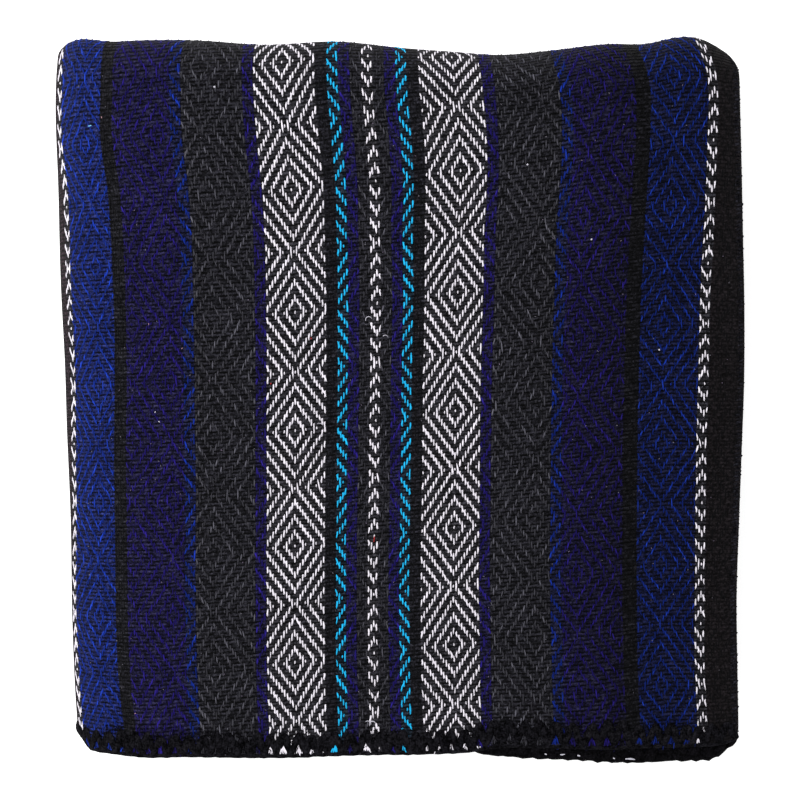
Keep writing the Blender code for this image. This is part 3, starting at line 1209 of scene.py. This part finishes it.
def yarn_tree(name, material):
    """A round yarn along the edges of a mesh, as thick at each point as it says."""
    names = ("Yarn Radius", "Unevenness")
    tree, given = modifier_tree(name, names, ("Sides", "Seed"))
    paths, radius, unevenness, sides, seed = given
    curve = add_node(tree, "GeometryNodeMeshToCurve", {0: paths})
    uneven = random_float(1.0 - unevenness, unevenness + 1.0, seed, 1)
    thick = named_float(tree, "thick") * uneven
    sized = add_node(tree, "GeometryNodeSetCurveRadius", {"Curve": curve, "Radius": thick})
    circle = {"Resolution": sides, "Radius": radius}
    ring = add_node(tree, "GeometryNodeCurvePrimitiveCircle", circle)
    drawn = {"Curve": sized, "Profile Curve": ring, "Fill Caps": True, "Scale": thick}
    return close_tree(tree, add_node(tree, "GeometryNodeCurveToMesh", drawn), material)


def spin_yarns(name, paths, thicks, settings, material, flatten=1.0, extra=None):
    """One piece with a yarn along each path. Each path is a row of flat points."""
    sizes = [len(path) for path in paths]
    index = np.arange(sum(sizes))
    last = np.isin(index, np.cumsum(sizes) - 1)
    edges = np.column_stack([index, index + 1])[~last]
    piece = mesh_object(name, np.concatenate(paths))
    piece.data.edges.add(len(edges))
    piece.data.edges.foreach_set("vertices", edges.astype(np.int32).ravel())
    for kept_name, values in {"thick": thicks, **(extra or {})}.items():
        keep_attribute(piece.data, kept_name, np.concatenate(values))
    grow(piece, yarn_tree(name, material), {
        "Yarn Radius": settings.yarn_radius,
        "Sides": settings.sides,
        "Unevenness": settings.unevenness,
        "Seed": settings.seed,
    })
    flat = read_points(piece.data)
    if flatten < 1.0:
        face = HEM_THICK / 2
        proud = np.maximum(np.abs(flat[:, 2]) - face, 0.0)
        flat[:, 2] -= np.sign(flat[:, 2]) * proud * (1.0 - flatten)
    write_points(piece.data, laid(flat))
    join_to_object(piece)


def from_edge(along, from_end):
    """A distance from one hem as a place along the cloth."""
    return LENGTH - along if from_end else along


def stitch_places(settings, from_end):
    """Where the stitches of a hem stand across the cloth, and how full each gap is."""
    rng = np.random.default_rng(settings.seed)
    charted = np.array([] if from_end else TOP_STITCHES).reshape(-1, 2)
    seen, shown = charted[:, 0] * MM, charted[:, 1]
    start = seen[-1] + settings.pitch / 2 if len(seen) else 0.0
    count = int((WIDTH - start) / settings.pitch)
    even = start + (np.arange(count) + 0.5) * (WIDTH - start) / count
    even = even + rng.uniform(-GAP_STRAY, GAP_STRAY, count) * settings.pitch
    guessed = rng.uniform(*GAP_FULLNESS, count)
    return np.concatenate([seen, even]), np.concatenate([shown, guessed])


def rounded_path(path):
    """The path with each of its corners cut once."""
    early = 0.75 * path[:-1] + 0.25 * path[1:]
    late = 0.25 * path[:-1] + 0.75 * path[1:]
    cut = np.stack([early, late], axis=1).reshape(-1, path.shape[1])
    return np.vstack([path[:1], cut[1:-1], path[-1:]])


def hem_paths(settings, from_end):
    """The stitches and the edge yarn of one hem, flat."""
    rng = np.random.default_rng(settings.seed + from_end)
    out, inward, height, thick = STRAND.T
    paths, thicks = [], []
    fullness = settings.under_fullness if from_end else 1.0
    places, _ = stitch_places(settings, from_end)
    apart = np.diff(places, prepend=-places[0], append=2 * WIDTH - places[-1]) / 2
    for number, place in enumerate(places):
        deep = smooth(place, *DEEP_FROM) - smooth(place, *DEEP_TO)
        reach = settings.reach * rng.uniform(*REACH_SPREAD) * (1 + DEEPER * deep)
        lean = rng.uniform(-STITCH_LEAN, STITCH_LEAN) * settings.pitch / 2
        for side, half in ((-1, apart[number]), (1, apart[number + 1])):
            grown = rng.uniform(*STRAND_SPREAD)
            stray = rng.uniform(-STRAND_STRAY, STRAND_STRAY, len(STRAND)) * settings.pitch
            across = place + side * out * half + lean * inward + stray
            along = from_edge(inward * reach, from_end)
            full = thick * grown * fullness
            path = rounded_path(np.column_stack([-across, along, height, full]))
            paths.append(path[:, :3])
            thicks.append(path[:, 3])
    steps = np.arange(RIM_CLEAR, WIDTH - RIM_CLEAR, RIM_STEP)
    size = settings.rim_radius * fullness
    for level in (settings.rim_level, -settings.rim_level):
        wave = RIM_WAVE * np.sin(2 * math.pi * steps / settings.pitch)
        rim = size - RIM_SUNK + wave + rng.uniform(-RIM_STRAY, RIM_STRAY, len(steps))
        rim = from_edge(rim, from_end)
        paths.append(np.column_stack([-steps, rim, np.full(len(steps), level)]))
        thicks.append(np.full(len(steps), size / settings.yarn_radius))
    return paths, thicks


class BlanketHemSettings(bpy.types.PropertyGroup):
    pitch: FloatProperty(
        name="Stitch Pitch", default=0.0093, unit="LENGTH",
        description="Distance between the stitches of a hem",
    )
    reach: FloatProperty(
        name="Reach", default=0.0152, unit="LENGTH",
        description="Distance from the edge to the needle holes",
    )
    yarn_radius: FloatProperty(
        name="Yarn Radius", default=0.0024, unit="LENGTH",
        description="Radius of the loose sewing yarn",
    )
    rim_radius: FloatProperty(
        name="Rim Radius", default=0.0016, unit="LENGTH",
        description="Radius of the yarn that lies along the cut edge",
    )
    rim_level: FloatProperty(
        name="Rim Level", default=0.0013, unit="LENGTH",
        description="Height of the edge yarns above and below the middle of the cloth",
    )
    under_fullness: FloatProperty(
        name="Under Fullness", default=1.25,
        description="How many times thicker the yarn of the under hem is",
    )
    sides: IntProperty(name="Sides", default=7, description="Faces round a yarn")
    unevenness: FloatProperty(
        name="Unevenness", default=0.11, subtype="FACTOR",
        description="Share by which the yarn swells and thins",
    )
    seed: IntProperty(
        name="Seed", default=SEED,
        description="Number that fixes the unevenness of the stitches",
    )


class BLANKET_OT_sew_hems(bpy.types.Operator):
    """Sews both cut ends with thick black stitches that come to a point at the needle holes"""

    bl_idname = "blanket.sew_hems"
    bl_label = "Sew Hems"

    def execute(self, context):
        settings = context.scene.blanket_hems
        for name, from_end, yarn, colour in (
            ("top_hem_stitches", 0, "black_sewing_yarn", SEWING),
            # The under hem gets a copy of the sewing yarn with painted shade.
            ("under_hem_stitches", 1, "shaded_sewing_yarn", SHADED_UNDER_SEWING),
        ):
            paths, thicks = hem_paths(settings, from_end)
            material = yarn_material(yarn, colour)
            spin_yarns(name, paths, thicks, settings, material, flatten=STITCH_FLATTEN)
        return {"FINISHED"}


class BlanketCutEndSettings(bpy.types.PropertyGroup):
    strands: IntProperty(
        name="Strands", default=4,
        description="Number of brushed warp ends that show in the gap inside each stitch",
    )
    longest: FloatProperty(
        name="Longest", default=0.0080, unit="LENGTH",
        description="Distance from the edge to where the brushed ends begin",
    )
    shortest: FloatProperty(
        name="Shortest", default=0.0026, unit="LENGTH",
        description="Distance from the edge to the tips of the brushed ends",
    )
    spread: FloatProperty(
        name="Spread", default=0.0019, unit="LENGTH",
        description="How far the tips of the outer ends are from the middle of the stitch",
    )
    yarn_radius: FloatProperty(
        name="Yarn Radius", default=0.00055, unit="LENGTH",
        description="Radius of a brushed warp end",
    )
    sides: IntProperty(name="Sides", default=5, description="Faces round a warp end")
    unevenness: FloatProperty(
        name="Unevenness", default=0.25, subtype="FACTOR",
        description="Share by which the warp ends swell and thin",
    )
    seed: IntProperty(
        name="Seed", default=SEED + 31,
        description="Number that fixes how the warp ends lie",
    )


class BLANKET_OT_brush_cut_ends(bpy.types.Operator):
    """Lays the brushed ends of the warp in the gap inside each hem stitch"""

    bl_idname = "blanket.brush_cut_ends"
    bl_label = "Brush Cut Ends"

    def execute(self, context):
        settings = context.scene.blanket_cut_ends
        hems = context.scene.blanket_hems
        rng = np.random.default_rng(settings.seed)
        steps = np.linspace(0.0, 1.0, len(BRUSHED_THICKS))
        height = HEM_THICK / 2 + BRUSHED_ARCH * np.sin(0.8 * math.pi * steps)
        paths, thicks, ends, tones = [], [], [], []
        for from_end in (0, 1):
            for place, full in zip(*stitch_places(hems, from_end)):
                slant = rng.uniform(-BRUSHED_SLANT, BRUSHED_SLANT)
                for share in np.linspace(-1.0, 1.0, settings.strands):
                    root = BRUSHED_ROOT * share * settings.spread
                    tip = share * settings.spread + slant
                    tip += rng.uniform(-BRUSHED_STRAY, BRUSHED_STRAY)
                    across = place + root * (1 - steps) + tip * steps
                    tip_at = settings.shortest + rng.uniform(0.0, BRUSHED_SHORT)
                    along = settings.longest + (tip_at - settings.longest) * steps
                    path = np.column_stack([-across, from_edge(along, from_end), height])
                    end, _ = counts_at(path[:1] + [COMBED, 0.0, 0.0])
                    paths.append(path)
                    thicks.append(full * rng.uniform(*BRUSHED_SPREAD) * BRUSHED_THICKS)
                    ends.append(np.full(len(steps), round(end[0])))
                    tones.append(np.full(len(steps), rng.uniform(*BRUSHED_TONES)))
        material = float_material("cut_warp_yarn")
        extra = {"end": ends, "tone": tones}
        spin_yarns("cut_warp_ends", paths, thicks, settings, material, extra=extra)
        return {"FINISHED"}


# Selvedge

# One turn of the weft round the selvedge: distance in from it, height, thickness.
WEFT_TURN = np.array((
    (0.0052, 0.0009, 0.75),
    (0.0026, 0.0012, 1.00),
    (0.0010, 0.0000, 1.00),
    (0.0026, -0.0012, 1.00),
    (0.0052, -0.0009, 0.75),
))
WEFT_FROM_HEM = 0.006
WEFT_STRAY = (-0.0005, 0.0004)
WEFT_SPREAD = (0.8, 1.25)


class BlanketSelvedgeSettings(bpy.types.PropertyGroup):
    yarn_radius: FloatProperty(
        name="Yarn Radius", default=0.00105, unit="LENGTH",
        description="Radius of the weft where it turns back at the selvedge",
    )
    sides: IntProperty(name="Sides", default=5, description="Faces round a yarn")
    unevenness: FloatProperty(
        name="Unevenness", default=0.12, subtype="FACTOR",
        description="Share by which the yarn swells and thins",
    )
    seed: IntProperty(
        name="Seed", default=SEED + 4,
        description="Number that fixes the unevenness of the turns",
    )


class BLANKET_OT_turn_weft(bpy.types.Operator):
    """Turns the weft round both selvedges, one turn for each pick"""

    bl_idname = "blanket.turn_weft"
    bl_label = "Turn Weft at Selvedges"

    def execute(self, context):
        settings = context.scene.blanket_selvedge
        rng = np.random.default_rng(settings.seed)
        inward, height, thick = WEFT_TURN.T
        paths, thicks = [], []
        slant = np.linspace(-0.5, 0.5, len(WEFT_TURN)) * PICK_PITCH
        for along in np.arange(WEFT_FROM_HEM, LENGTH - WEFT_FROM_HEM, PICK_PITCH):
            for far in (False, True):
                across = inward + rng.uniform(*WEFT_STRAY)
                across = WIDTH - across if far else across
                paths.append(np.column_stack([-across, along + slant, height]))
                thicks.append(thick * rng.uniform(*WEFT_SPREAD))
        material = yarn_material("black_weft_yarn", WEFT)
        spin_yarns("selvedge_turns", paths, thicks, settings, material)
        return {"FINISHED"}


# Loose fibres

FIBRE_STEPS = np.array([0.0, 0.34, 0.67, 1.0])
FIBRE_THICKS = np.array([1.0, 1.1, 0.9, 0.5])
FIBRE_ARCH = 0.0007

# Fibres on the hems: where they start, how long they are, how they turn and curl.
HEM_FIBRE_FROM, HEM_FIBRE_PAST = 0.002, 0.0015
HEM_FIBRE_CLEAR = 0.006
HEM_FIBRE_HEIGHTS = (0.0024, 0.0034)
HEM_FIBRE_LENGTHS = (0.0022, 0.0050)
HEM_FIBRE_TURN, HEM_FIBRE_CURL = 0.6, 1.2

# Fibres on the selvedges, in the same way.
SIDE_FIBRE_INWARD = (0.0010, 0.0040)
SIDE_FIBRE_CLEAR = 0.01
SIDE_FIBRE_HEIGHTS = (-0.0008, 0.0016)
SIDE_FIBRE_LENGTHS = (0.0018, 0.0036)
SIDE_FIBRE_HEADING, SIDE_FIBRE_TURN, SIDE_FIBRE_CURL = 1.35, 0.25, 1.0

# No fibre lies on the hem in the big left fold: one that would is moved to the right.
TURN_FROM, TURN_TO, TURN_MOVE = 0.415, 0.505, 0.1


def fibre_paths(rng, starts, lengths, headings, curl):
    """One bent fibre from each start, in four points."""
    bend = rng.uniform(-curl, curl, len(starts))
    paths = []
    for start, length, heading, turned in zip(starts, lengths, headings, bend):
        angles = heading + turned * FIBRE_STEPS
        moves = length / 3 * np.column_stack([np.cos(angles), np.sin(angles)])[1:]
        flat = start[:2] + np.vstack([[0.0, 0.0], np.cumsum(moves, axis=0)])
        height = start[2] + FIBRE_ARCH * np.sin(math.pi * FIBRE_STEPS)
        paths.append(np.column_stack([flat, height]))
    return paths


class BlanketFuzzSettings(bpy.types.PropertyGroup):
    hem_count: IntProperty(
        name="Hem Fibres", default=1500,
        description="Number of loose fibres along each hem",
    )
    selvedge_count: IntProperty(
        name="Selvedge Fibres", default=420,
        description="Number of loose fibres along each selvedge",
    )
    yarn_radius: FloatProperty(
        name="Fibre Radius", default=0.00028, unit="LENGTH",
        description="Radius of a small bundle of loose fibres",
    )
    sides: IntProperty(name="Sides", default=3, description="Faces round a fibre")
    unevenness: FloatProperty(
        name="Unevenness", default=0.35, subtype="FACTOR",
        description="Share by which the fibres swell and thin",
    )
    seed: IntProperty(
        name="Seed", default=SEED + 11,
        description="Number that fixes where the loose fibres lie",
    )


class BLANKET_OT_fray_edges(bpy.types.Operator):
    """Lays short loose fibres over the hem stitches and along the selvedges"""

    bl_idname = "blanket.fray_edges"
    bl_label = "Fray Edges"

    def execute(self, context):
        settings = context.scene.blanket_fuzz
        reach = context.scene.blanket_hems.reach
        rng = np.random.default_rng(settings.seed)
        paths = []
        for from_end in (0, 1):
            count = settings.hem_count
            along = rng.uniform(HEM_FIBRE_FROM, reach + HEM_FIBRE_PAST, count)
            across = rng.uniform(HEM_FIBRE_CLEAR, WIDTH - HEM_FIBRE_CLEAR, count)
            at_turn = (across > TURN_FROM) & (across < TURN_TO)
            across = np.where(at_turn, across - TURN_MOVE, across)
            heights = rng.uniform(*HEM_FIBRE_HEIGHTS, count)
            starts = np.column_stack([-across, from_edge(along, from_end), heights])
            lengths = rng.uniform(*HEM_FIBRE_LENGTHS, count)
            headings = rng.normal(math.pi / 2, HEM_FIBRE_TURN, count) + math.pi * from_end
            paths += fibre_paths(rng, starts, lengths, headings, HEM_FIBRE_CURL)
        for far in (False, True):
            count = settings.selvedge_count
            inward = rng.uniform(*SIDE_FIBRE_INWARD, count)
            across = WIDTH - inward if far else inward
            along = rng.uniform(SIDE_FIBRE_CLEAR, LENGTH - SIDE_FIBRE_CLEAR, count)
            heights = rng.uniform(*SIDE_FIBRE_HEIGHTS, count)
            starts = np.column_stack([-across, along, heights])
            lengths = rng.uniform(*SIDE_FIBRE_LENGTHS, count)
            sides = rng.choice([-1, 1], count)
            headings = sides * rng.normal(SIDE_FIBRE_HEADING, SIDE_FIBRE_TURN, count)
            headings = headings + math.pi * far
            paths += fibre_paths(rng, starts, lengths, headings, SIDE_FIBRE_CURL)
        thicks = [FIBRE_THICKS] * len(paths)
        material = yarn_material("loose_black_fibre", SEWING)
        spin_yarns("loose_fibres", paths, thicks, settings, material)
        return {"FINISHED"}


# Lint

# Bits of thread caught on the top layer, and the last five on the under hem: (across the
# cloth, along it, length, all in mm; heading and bend in degrees; thickness; tint).
CAUGHT = (
    (234, 136, 3.4, 78, 10, 1.8, "red"),
    (273, 264, 1.2, 70, 40, 1.2, "red"),
    (299, 236, 1.0, 20, 40, 1.2, "red"),
    (354, 258, 1.0, 50, 10, 1.3, "pink"),
    (374, 273, 1.0, 80, 10, 1.2, "pink"),
    (389, 28, 1.2, 150, 60, 0.8, "pink"),
    (409, 395, 2.2, 0, 20, 1.5, "cyan"),
    (400, 400, 1.0, 90, 10, 1.3, "pink"),
    (331, 418, 1.0, 60, 10, 2.8, "white"),
    (98, 326, 1.0, 10, 10, 2.7, "white"),
    (138, 374, 1.0, 40, 10, 2.5, "white"),
    (55, 257, 1.0, 90, 10, 2.4, "white"),
    (369, 212, 1.0, 120, 30, 1.4, "white"),
    (372, 218, 0.9, 30, 30, 1.3, "white"),
    (235, 277, 6.0, 100, 170, 0.9, "white"),
    (228, 266, 4.0, 60, -120, 0.8, "white"),
    (233, 21, 6.5, 95, 190, 1.1, "white"),
    (236, 20, 5.0, 60, 150, 1.0, "white"),
    (266, 210, 4.0, 110, 90, 0.7, "white"),
    (125, 1795.3, 1.5, 0, 10, 0.9, "white"),
    (115, 1795.4, 3.0, 4, -10, 0.9, "white"),
    (104, 1795.5, 1.8, -4, 10, 1.0, "white"),
    (81, 1795.7, 1.2, 0, 10, 0.9, "white"),
    (73, 1796.0, 6.2, -6, 16, 1.0, "white"),
)
TINTS = {
    "white": (0.62, 0.60, 0.68),
    "pink": (0.42, 0.24, 0.27),
    "red": (0.40, 0.03, 0.03),
    "cyan": (0.20, 0.50, 0.80),
    "grey": (0.17, 0.16, 0.19),
    "mauve": (0.20, 0.16, 0.23),
}
SPECK_TINTS = ("grey", "grey", "mauve")
SPECKS_ACROSS, SPECKS_ALONG = (6, 440), (24, 436)
SPECK_SIZES = (0.4, 1.1)
SPECK_HEADINGS = (0, 180)
SPECK_BENDS = (-40, 40)
SPECK_THICKS = (0.55, 0.95)
LONG_THREAD = 3
HEM_ZONE = 24
LINT_ON_HEM, LINT_ON_CLOTH = 0.0015, 0.0005
LINT_ARCH = 0.0006


def lint_material():
    """Fine thread, tinted by the number that is kept on it."""
    material, tree, surface, place = new_material("caught_lint")
    colours = [opaque(colour) for colour in TINTS.values()]
    stops = [(number / len(colours), colour) for number, colour in enumerate(colours)]
    colour, _ = ramp(kept(tree, "tint"), stops)
    shade = noise(place, scale=2400.0) * 0.6 + 0.6
    feed_all(surface, {
        "Base Color": mixed(tree, 1.0, colour, shade, "MULTIPLY"),
        "Roughness": 0.8,
        "Specular IOR Level": 0.05,
    })
    return material


class BlanketLintSettings(bpy.types.PropertyGroup):
    specks: IntProperty(
        name="Specks", default=260,
        description="Number of tiny bits of lint on the top layer",
    )
    yarn_radius: FloatProperty(
        name="Thread Radius", default=0.00022, unit="LENGTH",
        description="Radius of the finest bit of thread",
    )
    sides: IntProperty(name="Sides", default=5, description="Faces round a thread")
    unevenness: FloatProperty(
        name="Unevenness", default=0.25, subtype="FACTOR",
        description="Share by which the threads swell and thin",
    )
    seed: IntProperty(
        name="Seed", default=SEED + 23,
        description="Number that fixes where the specks lie",
    )


class BLANKET_OT_catch_lint(bpy.types.Operator):
    """Lays the bits of loose thread and the specks of lint that are caught on the cloth"""

    bl_idname = "blanket.catch_lint"
    bl_label = "Catch Lint"

    def execute(self, context):
        settings = context.scene.blanket_lint
        cloth = context.scene.blanket_cloth
        rng = np.random.default_rng(settings.seed)
        names = list(TINTS)
        rows = list(CAUGHT)
        for _ in range(settings.specks):
            place = (rng.uniform(*SPECKS_ACROSS), rng.uniform(*SPECKS_ALONG))
            ranges = (SPECK_SIZES, SPECK_HEADINGS, SPECK_BENDS, SPECK_THICKS)
            drawn = [rng.uniform(*limits) for limits in ranges]
            rows.append((*place, *drawn, rng.choice(SPECK_TINTS)))
        paths, thicks, tints = [], [], []
        for across, along, length, heading, bend, thick, tint in rows:
            steps = np.linspace(0.0, 1.0, 7 if length > LONG_THREAD else 3)
            angles = np.radians(heading + bend * steps)
            moves = np.column_stack([np.cos(angles), np.sin(angles)]) * length / (len(steps) - 1)
            flat = np.vstack([[0.0, 0.0], np.cumsum(moves[1:], axis=0)])
            flat = (flat + [-across, along]) * MM
            at_hem = min(along, LENGTH / MM - along) < HEM_ZONE
            arch = LINT_ARCH * np.sin(math.pi * steps) * (length > LONG_THREAD)
            face = half_thickness(-flat[:, 0], flat[:, 1], cloth)
            height = face + (LINT_ON_HEM if at_hem else LINT_ON_CLOTH) + arch
            if along > LENGTH / MM / 2:
                height = -height
            paths.append(np.column_stack([flat, height]))
            thicks.append(thick * (1.15 - 0.6 * np.abs(steps - 0.5)))
            tints.append(np.full(len(steps), (names.index(str(tint)) + 0.5) / len(names)))
        extra = {"tint": tints}
        spin_yarns("caught_lint", paths, thicks, settings, lint_material(), extra=extra)
        return {"FINISHED"}


# Stage

CAMERA_X = 0.0032
CAMERA_Y = -0.0009
PHOTO_SIDE = 800
PIXEL_FOCAL = 1460.3
SENSOR = 36.0
FLOOR_HALF = 4.0
FLOOR_Z = -0.0004
KEY_PLACE = (-0.66, 0.25, 1.20)
KEY_SIZE = 0.8


def stage_material(settings):
    material, tree, surface, place = new_material("pale_floor")
    colour = settings.floor_colour
    grain = noise(place, scale=60.0)
    feed_all(surface, {
        "Base Color": mixed(tree, grain, opaque(colour), opaque(colour, 0.99)),
        "Roughness": 0.9,
        "Specular IOR Level": 0.0,
        "Emission Color": WHITE,
        "Emission Strength": settings.floor_glow,
    })
    return material


class BlanketStageSettings(bpy.types.PropertyGroup):
    floor_colour: FloatVectorProperty(
        name="Floor Colour", default=(0.93, 0.93, 0.93), subtype="COLOR", size=3,
        description="Colour of the plain floor",
    )
    room_light: FloatProperty(
        name="Room Light", default=0.72,
        description="Strength of the even light from all round",
    )
    floor_glow: FloatProperty(
        name="Floor Glow", default=0.56,
        description="Light that the floor gives by itself, as a lit table does",
    )
    key_power: FloatProperty(
        name="Key Power", default=15.0, unit="POWER",
        description="Power of the large soft light",
    )
    camera_height: FloatProperty(
        name="Camera Height", default=0.98, unit="LENGTH",
        description="Height of the camera above the floor",
    )


class BLANKET_OT_light_stage(bpy.types.Operator):
    """Adds the pale floor, the soft light and the camera straight above"""

    bl_idname = "blanket.light_stage"
    bl_label = "Light Stage"

    def execute(self, context):
        settings = context.scene.blanket_stage
        scene = context.scene
        sides = ((-1, -1), (1, -1), (1, 1), (-1, 1))
        corners = [(x * FLOOR_HALF, y * FLOOR_HALF, FLOOR_Z) for x, y in sides]
        floor = mesh_object("floor", corners, [(0, 1, 2, 3)])
        floor.data.materials.append(stage_material(settings))
        scene.world = bpy.data.worlds.new("studio")
        scene.world.use_nodes = True
        background = scene.world.node_tree.nodes["Background"]
        feed_all(background, {"Color": WHITE, "Strength": settings.room_light})
        light = bpy.data.lights.new("key", "AREA")
        light.shape = "SQUARE"
        light.size = KEY_SIZE
        light.energy = settings.key_power
        key = bpy.data.objects.new("key", light)
        key.location = KEY_PLACE
        key.rotation_euler = (-Vector(KEY_PLACE)).to_track_quat("-Z", "Y").to_euler()
        scene.collection.objects.link(key)
        camera = bpy.data.cameras.new("camera")
        camera.sensor_width = SENSOR
        camera.lens = PIXEL_FOCAL / PHOTO_SIDE * SENSOR
        camera.clip_start = 0.05
        scene.camera = bpy.data.objects.new("camera", camera)
        scene.camera.location = (CAMERA_X, CAMERA_Y, settings.camera_height)
        scene.collection.objects.link(scene.camera)
        scene.view_settings.view_transform = "Standard"
        return {"FINISHED"}


# Add-on


class BLANKET_PT_panel(bpy.types.Panel):
    bl_label = "Folded Blanket"
    bl_idname = "BLANKET_PT_panel"
    bl_space_type = "VIEW_3D"
    bl_region_type = "UI"
    bl_category = "Blanket"

    def draw(self, context):
        for operator in OPERATORS:
            self.layout.operator(operator.bl_idname)


OPERATORS = (
    BLANKET_OT_weave_cloth,
    BLANKET_OT_raise_floats,
    BLANKET_OT_sew_hems,
    BLANKET_OT_brush_cut_ends,
    BLANKET_OT_turn_weft,
    BLANKET_OT_fray_edges,
    BLANKET_OT_catch_lint,
    BLANKET_OT_light_stage,
)
SETTINGS = {
    "blanket_cloth": BlanketClothSettings,
    "blanket_floats": BlanketFloatSettings,
    "blanket_hems": BlanketHemSettings,
    "blanket_cut_ends": BlanketCutEndSettings,
    "blanket_selvedge": BlanketSelvedgeSettings,
    "blanket_fuzz": BlanketFuzzSettings,
    "blanket_lint": BlanketLintSettings,
    "blanket_stage": BlanketStageSettings,
}


def register():
    for group in (*SETTINGS.values(), *OPERATORS, BLANKET_PT_panel):
        bpy.utils.register_class(group)
    for name, group in SETTINGS.items():
        setattr(bpy.types.Scene, name, PointerProperty(type=group))


def unregister():
    for name in SETTINGS:
        delattr(bpy.types.Scene, name)
    for group in (BLANKET_PT_panel, *reversed(OPERATORS), *reversed(SETTINGS.values())):
        bpy.utils.unregister_class(group)


def main():
    register()
    bpy.ops.blanket.weave_cloth()
    bpy.ops.blanket.raise_floats()
    bpy.ops.blanket.sew_hems()
    bpy.ops.blanket.brush_cut_ends()
    bpy.ops.blanket.turn_weft()
    bpy.ops.blanket.fray_edges()
    bpy.ops.blanket.catch_lint()
    bpy.ops.blanket.light_stage()


if __name__ == "__main__":
    main()
